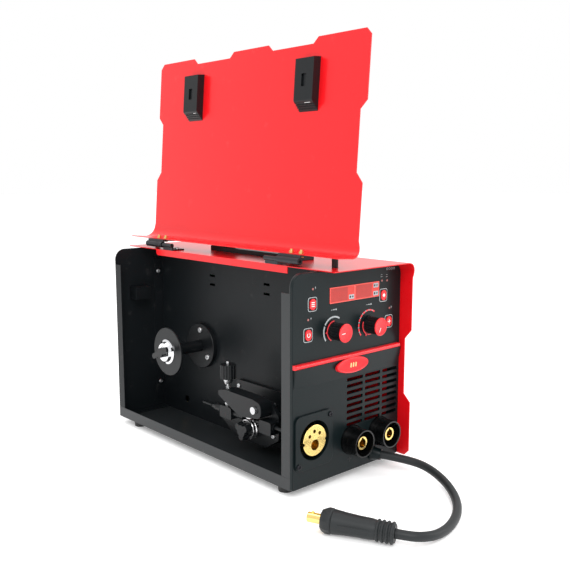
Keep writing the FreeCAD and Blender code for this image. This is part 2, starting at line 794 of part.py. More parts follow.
def fan_guard():
    """Round wire guard on the rear panel: rings tied by four spokes."""
    y = y_rear + 2.0
    guard = None
    for radius in (14, 27, 40, 53):
        ring = Part.makeTorus(radius, 1.2, V(fan_x, y, fan_z), AXIS_Y)
        guard = ring if guard is None else guard.fuse(ring)
    for index in range(4):
        spoke = rod(fan_x, y, fan_z, AXIS_Z, 1.4, 66)
        foot = rod(fan_x, y_rear, fan_z + 66, AXIS_Y, 4.0, 3.2)
        guard = guard.fuse(spoke.fuse(foot).rotated(V(fan_x, y, fan_z), AXIS_Y, 45 + index * 90))
    return single(guard)


# ---- outputs ----
def torch_flange():
    y0 = panel_face - torch_plate_thickness
    well_back = y0 + torch_well_depth
    plate = slab_y(wire_x, torch_z, torch_plate[0], torch_plate[1], 9, y0, panel_face)
    tube_start = panel_face - 1
    tube = rod(wire_x, tube_start, torch_z, AXIS_Y, torch_hole_radius + 3, well_back + 4 - tube_start)
    plate = plate.fuse(tube)
    plate = plate.cut(rod(wire_x, y0 - 1, torch_z, AXIS_Y, torch_hole_radius, torch_well_depth + 1))
    plate = plate.cut(rod(wire_x, y0 - 1, torch_z, AXIS_Y, 15.0, 40))
    return single(drilled(plate))


def torch_body():
    """Brass body: face with the gas bore and three contact holes, stepped stub behind."""
    y0 = panel_face - torch_plate_thickness - torch_face_proud
    face_depth = torch_well_depth + torch_face_proud
    body = rod(wire_x, y0, torch_z, AXIS_Y, torch_body_radius, face_depth)
    rim = [e for e in body.Edges if abs(e.BoundBox.YMax - y0) < 0.01 and e.Length > 10]
    body = body.makeFillet(1.0, rim)
    body = body.fuse(rod(wire_x, y0 + face_depth, torch_z, AXIS_Y, 14.8, 20))
    body = body.cut(rod(wire_x, y0 - 1, torch_z - torch_bore_drop, AXIS_Y, torch_bore_radius, 31))
    body = body.cut(rod(wire_x, y0 - 1, wire_z, AXIS_Y, liner_radius + 0.1, 60))
    for angle in (150, 95, 40):
        x = wire_x + 11.5 * math.cos(math.radians(angle))
        z = torch_z + 1.5 + 11.5 * math.sin(math.radians(angle))
        body = body.cut(rod(x, y0 - 1, z, AXIS_Y, 2.6, 16))
    for side in (-1, 1):
        body = body.cut(rod(wire_x + side * torch_body_radius, y0 - 1, torch_z - 2, AXIS_Y, 2.5, 14))
    return single(body)


def socket_shells():
    shells = []
    for name, x in socket_centers:
        rear = y_front - panel_face + 3
        profile = [(rear, insert_radius + 0.05), (rear, 12.5), (0, 12.5), (0, 22.0), (-3, 22.0),
                   (-6, 21.3), (-12, socket_radius + 0.3), (-socket_length, socket_radius),
                   (-socket_length, socket_radius - socket_wall), (-9, socket_radius - socket_wall - 0.8),
                   (-9, insert_radius + 0.05)]
        shells.append(lathe(profile, V(x, panel_face, socket_height), AXIS_Y))
    return compound(shells)


def socket_inserts():
    """Brass sleeves with a locking keyway and a threaded tail with its nut."""
    inserts = []
    for name, x in socket_centers:
        y0 = panel_face - socket_length + 5
        sleeve = rod(x, y0, socket_height, AXIS_Y, insert_radius, 44)
        sleeve = sleeve.cut(rod(x, y0 - 1, socket_height, AXIS_Y, insert_bore, 31))
        sleeve = sleeve.cut(box(x - 1.8, x + 1.8, y0 - 1, y0 + 14, socket_height + 4, socket_height + 8.2))
        nut_y = sheet_back + 5
        sleeve = sleeve.fuse(rod(x, y0 + 43, socket_height, AXIS_Y, 5.0, 14))
        nut = prism_y(hexagon(x, socket_height, 16), nut_y, nut_y + 6)
        inserts.append(single(sleeve.fuse(nut)))
    return compound(inserts)


def route_points():
    """Control points of the polarity lead, from the outlet bush to the plug's tail."""
    return [V(58.0, -241.0, 26.3), V(70.5, -267.0, 24.8), V(84, -301, 20.5), V(76, -341, 13.0),
            V(50, -380, 7.6), V(15, -408, 6.3), V(-25, -425, 6.2), V(-60, -431, 9.0),
            V(-83, -426.5, 12.2), V(-96.5, -415.5, 14.0), V(-103.5, -401.5, 14.4)]


def lead_path():
    """Straight runs joined by tangent arcs, each as large as its two runs allow."""
    points = route_points()
    edges = []
    start = points[0]
    for before, corner, after in zip(points, points[1:], points[2:]):
        run_in = (before - corner).Length
        run_out = (after - corner).Length
        arm_in = (before - corner).normalize()
        arm_out = (after - corner).normalize()
        inside = arm_in.getAngle(arm_out)
        reach = 0.45 * min(run_in, run_out)
        radius = reach * math.tan(inside / 2)
        first = corner + arm_in * reach
        last = corner + arm_out * reach
        apex = corner + (arm_in + arm_out).normalize() * (radius / math.sin(inside / 2) - radius)
        edges.append(Part.LineSegment(start, first).toShape())
        edges.append(Part.Arc(first, apex, last).toShape())
        print("lead radius %.1f mm" % radius)
        start = last
    edges.append(Part.LineSegment(start, points[-1]).toShape())
    length = sum(edge.Length for edge in edges)
    print("lead length %.1f mm" % length)
    return Part.Wire(edges), length


def polarity_cable():
    path, length = lead_path()
    points = route_points()
    heading = points[1] - points[0]
    ring = Part.Wire([Part.makeCircle(cable_radius, points[0], heading)])
    tube = path.makePipeShell([ring], True, False)
    print("lead volume ratio %.4f" % (tube.Volume / (math.pi * cable_radius ** 2 * length)))
    return tube


def cable_outlet():
    """Bush through the panel with a short angled boot for the polarity lead."""
    start = route_points()[0]
    toward = (route_points()[1] - start).normalize()
    base = V(outlet_x, panel_face, outlet_z)
    collar = rod(outlet_x, panel_face - 3, outlet_z, AXIS_Y, 10.0, 3)
    collar = collar.fuse(rod(outlet_x, panel_face - 1, outlet_z, AXIS_Y, 8.0, panel_proud + 8))
    boot_length = (start - base).Length + 2
    boot = Part.makeCone(10.0, 8.0, boot_length, start - toward * boot_length, toward)
    boot = boot.cut(box(-far, far, panel_face - 0.5, far, -far, far))
    return single(collar.fuse(boot))


def plug_axis():
    points = route_points()
    return points[-1], (points[-1] - points[-2]).normalize()


def plug_sleeve():
    """Rubber sleeve: ribbed tail, swelling body and a faceted head."""
    tail, heading = plug_axis()
    profile = [(0, 0), (0, 12.0)]
    for rib in range(4):
        start = 1.5 + rib * 6.0
        profile += [(start, 12.0), (start + 0.8, 13.8), (start + 2.8, 13.8), (start + 3.6, 12.0)]
    profile += [(26, 12.6), (40, 13.2), (60, 14.2), (74, 15.4), (80, 16.2), (84, 16.4),
                (plug_length - 3, 16.0),
                (plug_length, 13.5), (plug_length, 0)]
    return lathe(profile, tail, heading)


def plug_pin():
    tail, heading = plug_axis()
    start = tail + heading * plug_length
    pin = Part.makeCylinder(plug_pin_radius, 19, start, heading)
    tip = start + heading * 19
    pin = pin.makeFillet(1.0, [e for e in pin.Edges if e.CenterOfMass.distanceToPoint(tip) < 0.5])
    key = Part.makeCylinder(2.0, plug_pin_radius + 1.2, start + heading * 12, V(0, 0, 1))
    return single(pin.fuse(key))


# ---- spool holder ----
def spool_flange():
    plate = rod(partition_x - spool_flange_thickness, spool_y, spool_z, AXIS_X, spool_flange_radius,
                spool_flange_thickness)
    rim = [e for e in plate.Edges if e.BoundBox.XMax < partition_x - 5 and e.Length > 50]
    plate = plate.makeFillet(1.5, rim)
    plate = plate.cut(rod(partition_x - 20, spool_y, spool_z, AXIS_X, spindle_radius + 0.05, 30))
    return single(drilled(plate))


def spindle_end():
    return disc_outer_x - 13.0


def spool_spindle():
    length = partition_back + 6 - spindle_end()
    spindle = rod(spindle_end(), spool_y, spool_z, AXIS_X, spindle_radius, length)
    nut = prism_x(hexagon(spool_y, spool_z, 10), partition_back, partition_back + 5)
    return single(spindle.fuse(nut))


def spool_hub():
    """Turning hub: a plain sleeve on the spindle."""
    x1 = partition_x - spool_flange_thickness - 1.0
    x0 = disc_outer_x + disc_thickness
    hub = rod(x0, spool_y, spool_z, AXIS_X, hub_radius, x1 - x0)
    return single(hub.cut(rod(x0 - 1, spool_y, spool_z, AXIS_X, spindle_radius + running_gap, x1 - x0 + 2)))


def spool_disc():
    disc = rod(disc_outer_x, spool_y, spool_z, AXIS_X, disc_radius, disc_thickness)
    disc = disc.makeFillet(1.0, [e for e in disc.Edges if e.Length > 200])
    bore = spindle_radius + running_gap
    return single(disc.cut(rod(disc_outer_x - 1, spool_y, spool_z, AXIS_X, bore, 10)))


def brake_cap():
    """Chrome dished cap pressed against the disc."""
    depth = 8.0
    profile = [(0, spindle_radius + running_gap), (0, 20.5), (1.5, 20.5), (3.0, 17.0), (depth, 15.0),
               (depth, spindle_radius + running_gap)]
    return lathe(profile, V(disc_outer_x, spool_y, spool_z), V(-1, 0, 0))


def wing_nut():
    x0 = disc_outer_x - 16.0
    nut = rod(x0, spool_y, spool_z, AXIS_X, 8.0, 7.7)
    wing = slab_x(spool_y, spool_z, 46, 9, 4, x0, x0 + 4.0)
    nut = nut.fuse(wing.rotated(V(x0, spool_y, spool_z), AXIS_X, -25))
    bore = spindle_radius + running_gap
    return single(nut.cut(rod(spindle_end() - 0.3, spool_y, spool_z, AXIS_X, bore, 20)))


# ---- wire feeder ----
def feeder_body():
    """Moulded body: wall plate, gearbox block, carrier plate, guide holders and the pivot post."""
    roll_z = wire_z - roll_radius
    x1 = carrier_x + carrier_thickness
    body = prism_x(rectangle(-146, 2, 30, 108, 8), partition_x - 6, partition_x)
    body = body.fuse(prism_x(rectangle(-126, -58, 36, 76, 5), x1 - 1, partition_x - 5))
    carrier = [(-148, 52, 4), (-120, 34, 6), (-46, 34, 6), (-14, 56, 4), (-14, 80, 6), (-27, 80, 3),
               (-31, 93, 4), (-50, 93, 4), (-64, 98, 4),
               (-100, 108, 8), (-130, 106, 8), (-148, 88, 4)]
    body = body.fuse(prism_x(carrier, carrier_x, x1))
    body = body.fuse(prism_x(rectangle(-148, -122, 62, 82, 3), wire_x - 8, carrier_x + 1))
    body = body.fuse(prism_x(rectangle(-56, -28, 64, 83, 3), wire_x - 8, carrier_x + 1))
    body = body.cut(rod(wire_x, -160, wire_z, AXIS_Y, liner_radius + 2.6, 150))
    body = body.cut(rod(wire_x - 20, roll_y, roll_z, AXIS_X, roll_radius + 1.2, carrier_x - wire_x + 20))
    body = body.cut(rod(carrier_x - 1, roll_y, roll_z, AXIS_X, 6.0, 80))
    body = body.cut(box(wire_x - 4.2, carrier_x - 0.8, lever_y - 6, lever_y + 40,
                        lever_z - 7, lever_z + 30))
    body = body.cut(rod(wire_x - 20, arm_pivot_y, arm_pivot_z, AXIS_X, 3.0, 40))
    body = body.cut(rod(carrier_x - 1, lever_y, lever_z, AXIS_X, 1.8 + running_gap, 20))
    return single(drilled(body))


def arm_span():
    return wire_x - roll_width / 2 - 9.0, wire_x + roll_width / 2 + 1.0


def pressure_arm():
    """Teardrop arm with a roller pocket underneath and a fork at its free end."""
    x0, x1 = arm_span()
    outline = [(arm_pivot_y - 13, 86, 10), (-86, 79, 6), (-46, 96, 3), (-34, 102, 3), (-34, 109, 3),
               (-50, 113, 6), (arm_pivot_y + 5, 112, 12), (arm_pivot_y - 14, 108, 10)]
    arm = prism_x(outline, x0, x1)
    pocket = rod(x0 + 6, roll_y, wire_z + pressure_radius, AXIS_X, pressure_radius + 1.5, x1 - x0 - 7.5)
    arm = arm.cut(pocket)
    arm = arm.cut(box(x0 + 6, x1 - 1.5, roll_y - 12.5, roll_y + 12.5, 60, wire_z + pressure_radius))
    arm = arm.cut(box(wire_x - 4.0, wire_x + 4.0, lever_y - 4.0, lever_y + 20, 80, 130))
    arm = arm.cut(rod(x0 - 1, arm_pivot_y, arm_pivot_z, AXIS_X, 3.0 + running_gap, x1 - x0 + 2))
    arm = arm.cut(rod(x0 + 3, roll_y, wire_z + pressure_radius, AXIS_X, 2.5, x1 - x0))
    pin = rod(x0 + 3, roll_y, wire_z + pressure_radius, AXIS_X, 2.5, x1 - x0 - 3.2)
    return single(arm.fuse(pin))


def pressure_roller():
    width = 8.0
    z = wire_z + pressure_radius
    roller = rod(wire_x - width / 2, roll_y, z, AXIS_X, pressure_radius - 0.4, width)
    return single(roller.cut(rod(wire_x - 10, roll_y, z, AXIS_X, 2.5 + running_gap, 20)))


def drive_roll():
    roll_z = wire_z - roll_radius
    x0 = wire_x - roll_width / 2
    groove = 1.0
    edge = roll_radius - 0.6
    rim = roll_radius - 0.2
    middle = roll_width / 2
    profile = [(0, 3.1), (0, edge), (0.6, rim), (middle - groove, rim), (middle, rim - groove),
               (middle + groove, rim), (roll_width - 0.6, rim), (roll_width, edge), (roll_width, 3.1)]
    roll = lathe(profile, V(x0, roll_y, roll_z), AXIS_X)
    shaft = rod(x0 - 9, roll_y, roll_z, AXIS_X, 3.0, partition_back + 14 - x0 + 9)
    return compound([roll, shaft])


def roll_knob():
    """Three-lobed knob that clamps the drive roll on its shaft."""
    roll_z = wire_z - roll_radius
    x1 = wire_x - roll_width / 2 - 0.2
    knob_solid = rod(x1 - 4, roll_y, roll_z, AXIS_X, 11.5, 4)
    for index in range(3):
        angle = math.radians(-90 + index * 120)
        lobe_y = roll_y + 9.5 * math.cos(angle)
        lobe_z = roll_z + 9.5 * math.sin(angle)
        knob_solid = knob_solid.fuse(cone(x1 - 12, lobe_y, lobe_z, AXIS_X, 5.0, 6.5, 10))
    knob_solid = knob_solid.fuse(rod(x1 - 12, roll_y, roll_z, AXIS_X, 9.0, 11))
    return single(knob_solid.cut(rod(x1 - 9, roll_y, roll_z, AXIS_X, 3.05, 20)))


def tension_lever():
    """Swinging rod on a cross pin, with the pressure spring and its cup under the knob."""
    eye = rod(wire_x - 3.5, lever_y, lever_z, AXIS_X, 4.0, 7.0)
    stem_length = tension_knob_seat + tension_knob_height + 4.7
    stem = rod(wire_x, lever_y, lever_z, AXIS_Z, lever_rod_radius, stem_length)
    pin = rod(wire_x - 3.5, lever_y, lever_z, AXIS_X, 1.8, 14)
    cup = cone(wire_x, lever_y, lever_z + 32, AXIS_Z, 5.6, 8.5, 8)
    return single(eye.fuse(stem).fuse(pin).fuse(cup))


def tension_knob():
    low = lever_z + tension_knob_seat
    height = tension_knob_height
    knob_solid = rod(wire_x, lever_y, low, AXIS_Z, tension_knob_radius, height)
    for index in range(16):
        angle = math.radians(index * 22.5)
        reach = tension_knob_radius + 0.2
        knob_solid = knob_solid.cut(rod(wire_x + reach * math.cos(angle), lever_y + reach * math.sin(angle),
                                        low - 1, AXIS_Z, 1.1, height + 2))
    bore = lever_rod_radius + running_gap
    return single(knob_solid.cut(rod(wire_x, lever_y, low - 1, AXIS_Z, bore, height + 2)))


def inlet_guide():
    """Liner tube, cone and collar that lead the wire into the feeder."""
    tail = 24.0
    profile = [(0, liner_radius - 1.4), (0, liner_radius - 0.6), (22, liner_radius - 0.6), (28, 5.0),
               (38, 7.0),
               (50, 7.0), (50, liner_radius + 2.4), (104, liner_radius + 2.4), (104, liner_radius - 1.4)]
    return lathe(profile, V(wire_x, tail, wire_z), V(0, -1, 0))


def outlet_guide():
    """Tube from the drive roll into the torch socket."""
    start = roll_y - 16.0
    end = panel_face + 30
    profile = [(0, liner_radius - 1.4), (0, liner_radius - 0.4), (10, liner_radius + 2.4),
               (42, liner_radius + 2.4), (42, liner_radius), (start - end, liner_radius),
               (start - end, liner_radius - 1.4)]
    return lathe(profile, V(wire_x, start, wire_z), V(0, -1, 0))


def feed_motor():
    """Motor and gearbox behind the partition, on the drive roll's axis."""
    roll_z = wire_z - roll_radius
    box_x = partition_back + 0.2
    outline = rectangle(roll_y - 34, roll_y + 34, roll_z - 28, roll_z + 28, 8)
    gearbox = prism_x(outline, box_x, box_x + 24)
    motor = rod(box_x + 23, roll_y, roll_z, AXIS_X, motor_radius - 4, 56)
    whole = gearbox.fuse(motor)
    return single(whole.cut(rod(box_x - 1, roll_y, roll_z, AXIS_X, 3.0 + running_gap, 18)))


# ---- rear ----
def power_switch():
    y0 = rear_inner - 22
    x, z = switch_place
    body = box(x - 14.5, x + 14.5, y0, y_rear, z - 10.5, z + 10.5)
    body = body.fuse(slab_y(x, z, 34, 26, 2, y_rear, y_rear + 2))
    return single(body.cut(box(x - 12, x + 12, y0 + 3, y_rear + 3, z - 8, z + 8)))


def power_rocker():
    """Rocker lying in its off position."""
    pivot_y = y_rear - 6
    half = 11.6
    x, z = switch_place
    rocker = prism_x([(pivot_y - 1, z - 5), (pivot_y + 10.5, z - 6.8), (pivot_y + 9.0, z),
                      (pivot_y + 10.5, z + 6.8), (pivot_y - 1, z + 5)], x - half, x + half)
    rocker = rocker.fuse(rod(x - half, pivot_y, z, AXIS_X, 5.0, 2 * half))
    return single(rocker.rotated(V(x, pivot_y, z), AXIS_X, rocker_tilt))


def mains_gland():
    y0 = y_rear
    x, z = gland_place
    gland = prism_y(hexagon(x, z, 14), y0, y0 + 7)
    gland = gland.fuse(rod(x, y0 + 6, z, AXIS_Y, 11.5, 4))
    gland = gland.fuse(cone(x, y0 + 10, z, AXIS_Y, 11.5, 7.5, 12))
    gland = gland.fuse(rod(x, rear_inner - 10, z, AXIS_Y, gland_thread, 12))
    return single(gland.cut(rod(x, rear_inner - 12, z, AXIS_Y, mains_cord_radius, 50)))


def gas_valve():
    """Valve block on the rear panel with a barbed inlet outside."""
    x, z = gas_place
    block = box(x - 14, x + 14, rear_inner - 46, rear_inner, z - 15, z + 15)
    coil = rod(x, rear_inner - 30, z + 15, AXIS_Z, 11, 26)
    stem = rod(x, rear_inner - 1, z, AXIS_Y, gas_stem, sheet + 3)
    nut = prism_y(hexagon(x, z, 10), y_rear, y_rear + 5)
    barb = rod(x, y_rear + 4, z, AXIS_Y, 3.4, 23)
    for index in range(3):
        barb = barb.fuse(cone(x, y_rear + 12 + index * 5, z, AXIS_Y, 4.6, 3.4, 4))
    whole = block.fuse(coil).fuse(stem).fuse(nut).fuse(barb)
    return single(whole.cut(rod(x, rear_inner - 20, z, AXIS_Y, 2.2, 60)))


# ---- fasteners ----
def screw_set():
    """Every pan-head screw: the point its head seats on, the way it goes in, its radius and its length."""
    screws = []
    for z in (40.0, 150.0, 250.0):
        for y in (y_front + 9, y_rear - 9):
            screws.append((V(x_right, y, z), V(-1, 0, 0), 2.0, 5.0))
    for end in (-1, 1):
        handle_y = handle_center_y + end * handle_screw_reach
        screws.append((V(handle_x, handle_y, z_roof + 5), V(0, 0, -1), 2.0, 10.0))
        plate_y = panel_face - torch_plate_thickness
        screws.append((V(wire_x + end * 30, plate_y, torch_z + end * 31), AXIS_Y, 2.0, 7.0))
    for y in screw_points(roof_leaf_spans(), 15.0):
        screws.append((V(hinge_x + hinge_screw_reach, y, z_roof + leaf_thickness), V(0, 0, -1), 2.0, 7.0))
    for angle in (95, 215, 335):
        y = spool_y + 28 * math.cos(math.radians(angle))
        z = spool_z + 28 * math.sin(math.radians(angle))
        screws.append((V(partition_x - spool_flange_thickness, y, z), AXIS_X, 2.5, 12.0))
    for z in (265.0, 60.0):
        screws.append((V(partition_x - 9, rear_inner - sheet, z), AXIS_Y, 2.0, 6.0))
    for y in (-6.0, -138.0):
        for z in (38.0, 98.0):
            screws.append((V(partition_x - 6, y, z), AXIS_X, 2.0, 9.0))
    for y, z in ((-26.0, 60.0), (-137.0, 56.0)):
        screws.append((V(carrier_x, y, z), AXIS_X, 2.0, 5.5))
    return screws


def drilled(shape):
    """Clearance holes through a part wherever a screw passes."""
    for point, axis, radius, length in screw_set():
        hole = Part.makeCylinder(radius + 0.05, length + 0.5, point - axis * 0.2, axis)
        if shape.BoundBox.intersect(hole.BoundBox):
            shape = shape.cut(hole)
    return shape


def fasteners():
    """The case, hinge, spool and feeder screws, the foot screws and the pressure arm's pivot bolt."""
    x0, x1 = arm_span()
    bolt = rod(x0 - 0.3, arm_pivot_y, arm_pivot_z, AXIS_X, 3.0, 40)
    bolt = bolt.fuse(rod(x0 - 4.3, arm_pivot_y, arm_pivot_z, AXIS_X, 5.5, 4))
    solids = [single(bolt)]
    for point, axis, radius, length in screw_set():
        solids.append(pan_screw(point, axis, radius, length))
    for x, y in foot_points():
        solids.append(pan_screw(V(x, y, 4), AXIS_Z, 2.3, 14))
    return compound(solids)


def indicator_lights():
    lamps = []
    for x, z in lamp_centers:
        lamps.append(rod(x, panel_face - 0.4, z, AXIS_Y, lamp_radius - 0.05, panel_back - panel_face + 3))
    return compound(lamps)


def build():
    nodes = {
        "base_tray": base_tray(), "front_frame": front_frame(), "front_moulding": front_moulding(),
        "trim_bar": trim_bar(), "display_window": display_window(), "indicator_lights": indicator_lights(),
        "rear_panel": rear_panel(), "partition": partition(), "right_cover": right_cover(),
        "rubber_pads": rubber_pads(), "carry_handle": carry_handle(), "fasteners": fasteners(),
        "hinge_roof_leaves": hinge_roof_leaves(), "hinge_pins": hinge_pins(),
        "circuit_boards": circuit_boards(), "heat_sinks": heat_sinks(), "transformer": transformer(),
        "fan_frame": fan_frame(), "fan_rotor": fan_rotor(), "fan_guard": fan_guard(),
        "torch_flange": torch_flange(), "torch_body": torch_body(), "socket_shells": socket_shells(),
        "socket_inserts": socket_inserts(), "cable_outlet": cable_outlet(),
        "polarity_cable": polarity_cable(),
        "plug_sleeve": plug_sleeve(), "plug_pin": plug_pin(),
        "spool_flange": spool_flange(), "spool_spindle": spool_spindle(), "spool_hub": spool_hub(),
        "spool_disc": spool_disc(), "brake_cap": brake_cap(), "wing_nut": wing_nut(),
        "feeder_body": feeder_body(), "pressure_arm": pressure_arm(),
        "pressure_roller": pressure_roller(), "drive_roll": drive_roll(), "roll_knob": roll_knob(),
        "tension_lever": tension_lever(), "tension_knob": tension_knob(), "inlet_guide": inlet_guide(),
        "outlet_guide": outlet_guide(), "feed_motor": feed_motor(),
        "power_switch": power_switch(), "power_rocker": power_rocker(), "mains_gland": mains_gland(),
        "gas_valve": gas_valve(),
        "door": open_door(door()), "hinge_door_leaves": hinge_door_leaves(),
        "hinge_door_screws": hinge_door_screws(), "latch_housings": latch_housings(),
    }
    for name, y in latch_centers():
        nodes["latch_slider_" + name] = latch_slider(y)
    for name, x, z in button_centers:
        nodes[name] = button(x, z)
    for name, x, z in knob_centers:
        nodes[name] = knob(x, z)
    return nodes


def main():
    os.makedirs("parts", exist_ok=True)
    nodes = build()
    for name, shape in nodes.items():
        solids = shape.Solids
        if not shape.isValid() or not solids:
            print("CHECK", name, "valid", shape.isValid(), "solids", len(solids))
        shape.exportStep("parts/%s.step" % name)
    print(len(nodes), "nodes")


main()
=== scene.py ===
"""MIG welding machine with its wire compartment open: finishes, printed panel details, lead and studio."""
import bmesh
import bpy
import math
from mathutils import Matrix, Vector


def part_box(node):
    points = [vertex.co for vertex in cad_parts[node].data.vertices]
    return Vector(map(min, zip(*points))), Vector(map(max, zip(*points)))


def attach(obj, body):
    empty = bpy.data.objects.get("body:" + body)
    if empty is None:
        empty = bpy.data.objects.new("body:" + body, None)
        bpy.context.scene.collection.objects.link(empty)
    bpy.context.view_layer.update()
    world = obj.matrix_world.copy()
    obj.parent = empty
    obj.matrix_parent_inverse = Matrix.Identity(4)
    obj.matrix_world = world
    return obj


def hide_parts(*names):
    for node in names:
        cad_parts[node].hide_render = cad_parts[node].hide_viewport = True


bl_info = {
    "name": "MIG Welding Machine",
    "version": (1, 0, 0),
    "blender": (4, 5, 0),
    "location": "View3D > Sidebar > Welder",
    "description": "Finishes and detail pieces for a MIG welding machine with its side door open",
    "category": "Object",
}

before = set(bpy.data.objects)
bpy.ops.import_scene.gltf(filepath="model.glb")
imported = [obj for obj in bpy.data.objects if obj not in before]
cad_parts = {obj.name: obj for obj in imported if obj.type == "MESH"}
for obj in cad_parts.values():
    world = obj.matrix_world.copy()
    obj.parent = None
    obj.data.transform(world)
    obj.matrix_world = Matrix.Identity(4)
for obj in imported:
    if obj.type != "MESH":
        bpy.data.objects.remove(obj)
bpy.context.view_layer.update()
mm = 0.001
FACE_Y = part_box("display_window")[0].y + 0.3 * mm

# Height at which the slope below the trim bar ends.
CHIN_FOOT = 154 * mm
# Radians of the ring pattern on lathe-faced brass, per metre of radius.
RING_RATE = 11000.0
# Colour of the blackened screws at the front of the machine.
BLACKENED = (0.030, 0.030, 0.034)

# The polarity lead's route from its bush to the plug, in millimetres.
LEAD_ROUTE = ((58.0, -241.0, 26.3), (70.5, -267.0, 24.8), (84, -301, 20.5), (76, -341, 13.0), (50, -380, 7.6),
              (15, -408, 6.3), (-25, -425, 6.2), (-60, -431, 9.0), (-83, -426.5, 12.2), (-96.5, -415.5, 14.0),
              (-103.5, -401.5, 14.4))


def colour_property(name, description, default):
    return bpy.props.FloatVectorProperty(name=name, description=description, default=default, size=3,
                                         min=0, max=1, subtype="COLOR")


def length_property(name, description, default):
    return bpy.props.FloatProperty(name=name, description=description, default=default * mm, min=0.00005,
                                   max=0.5, precision=5, subtype="DISTANCE", unit="LENGTH")


# ---- settings ----
class WelderFinishes(bpy.types.PropertyGroup):
    """Colours of the machine."""
    cover: colour_property("Cover red", "Gloss powder coat of the door and cover", (0.70, 0.004, 0.008))
    case: colour_property("Case grey", "Textured powder coat of the inner case", (0.012, 0.0145, 0.016))
    moulding: colour_property("Moulding", "Grained plastic of the front panel", (0.0035, 0.0075, 0.0085))
    nylon: colour_property("Black nylon", "Feeder, latches, handle and knobs", (0.0040, 0.0052, 0.0062))
    rubber: colour_property("Rubber", "Lead, plug, sockets and feet", (0.0085, 0.0105, 0.0115))
    accent: colour_property("Accent red", "Knob caps, buttons, trim and badge", (0.74, 0.012, 0.018))
    brass: colour_property("Brass", "Socket inserts and plug pin", (0.92, 0.68, 0.24))
    zinc: colour_property("Zinc", "Plated screws and hinge steel", (0.62, 0.63, 0.64))
    window: colour_property("Display window", "Red window over the displays", (0.50, 0.026, 0.016))
    print_grey: colour_property("Print", "Light printed marks on the panel", (0.36, 0.39, 0.40))


class WelderPanelSizes(bpy.types.PropertyGroup):
    """Sizes of the details on the control panel."""
    frame_width: length_property("Button frame", "Outside width of the outline round a button", 17.0)
    frame_line: length_property("Frame line", "Width of that outline", 0.9)
    cap_radius: length_property("Cap radius", "Radius of a knob's red cap", 13.0)
    cap_depth: length_property("Cap depth", "How far a cap stands off its knob", 1.3)
    left_dial: length_property("Left dial radius", "Middle radius of the left dial's arc", 19.6)
    right_dial: length_property("Right dial radius", "Middle radius of the right dial's arc", 21.4)
    dial_width: length_property("Dial width", "Width of a printed dial arc", 2.2)
    badge_width: length_property("Badge width", "Width of the oval badge", 64)
    badge_height: length_property("Badge height", "Height of the oval badge", 21.6)


class WelderLeadSizes(bpy.types.PropertyGroup):
    """Sizes of the polarity lead and its plug."""
    diameter: length_property("Lead diameter", "Outside diameter of the cable", 12)
    length: length_property("Lead length", "Length from the bush to the plug's tail", 332)
    sleeve: length_property("Sleeve length", "Length of the plug's rubber sleeve", 92)
    head: length_property("Head radius", "Largest radius of the faceted head", 16.3)
    facets: bpy.props.IntProperty(name="Head facets", description="Flats round the plug's head",
                                  default=10, min=6, max=24)


class WelderStage(bpy.types.PropertyGroup):
    """Camera and studio light."""
    lens: bpy.props.FloatProperty(name="Lens", description="Focal length in millimetres", default=48.2,
                                  min=10, max=300)
    station: bpy.props.FloatVectorProperty(name="Station", description="Where the camera stands",
                                           default=(-0.779, -0.946, 0.440), subtype="TRANSLATION",
                                           unit="LENGTH")
    turn: bpy.props.FloatProperty(name="Turn", description="Camera heading, from the rear axis to the right",
                                  default=math.radians(42.39), subtype="ANGLE", unit="ROTATION")
    tilt: bpy.props.FloatProperty(name="Tilt", description="How far the camera looks down",
                                  default=math.radians(8.35), subtype="ANGLE", unit="ROTATION")
    floor: colour_property("Floor", "Pale studio floor", (0.95, 0.95, 0.95))


def settings():
    scene = bpy.context.scene
    return scene.welder_finishes, scene.welder_panel, scene.welder_lead, scene.welder_stage


# ---- shader writing ----
class Signal:
    """A value or colour inside a finish; arithmetic on it adds Math nodes."""

    def __init__(self, finish, socket):
        self.finish = finish
        self.socket = socket

    def __add__(self, other):
        return self.finish.maths("ADD", self, other)

    def __sub__(self, other):
        return self.finish.maths("SUBTRACT", self, other)

    def __rsub__(self, other):
        return self.finish.maths("SUBTRACT", other, self)

    def __mul__(self, other):
        return self.finish.maths("MULTIPLY", self, other)

    def __pow__(self, other):
        return self.finish.maths("POWER", self, other)

    def __gt__(self, other):
        return self.finish.maths("GREATER_THAN", self, other)

    __radd__ = __add__
    __rmul__ = __mul__


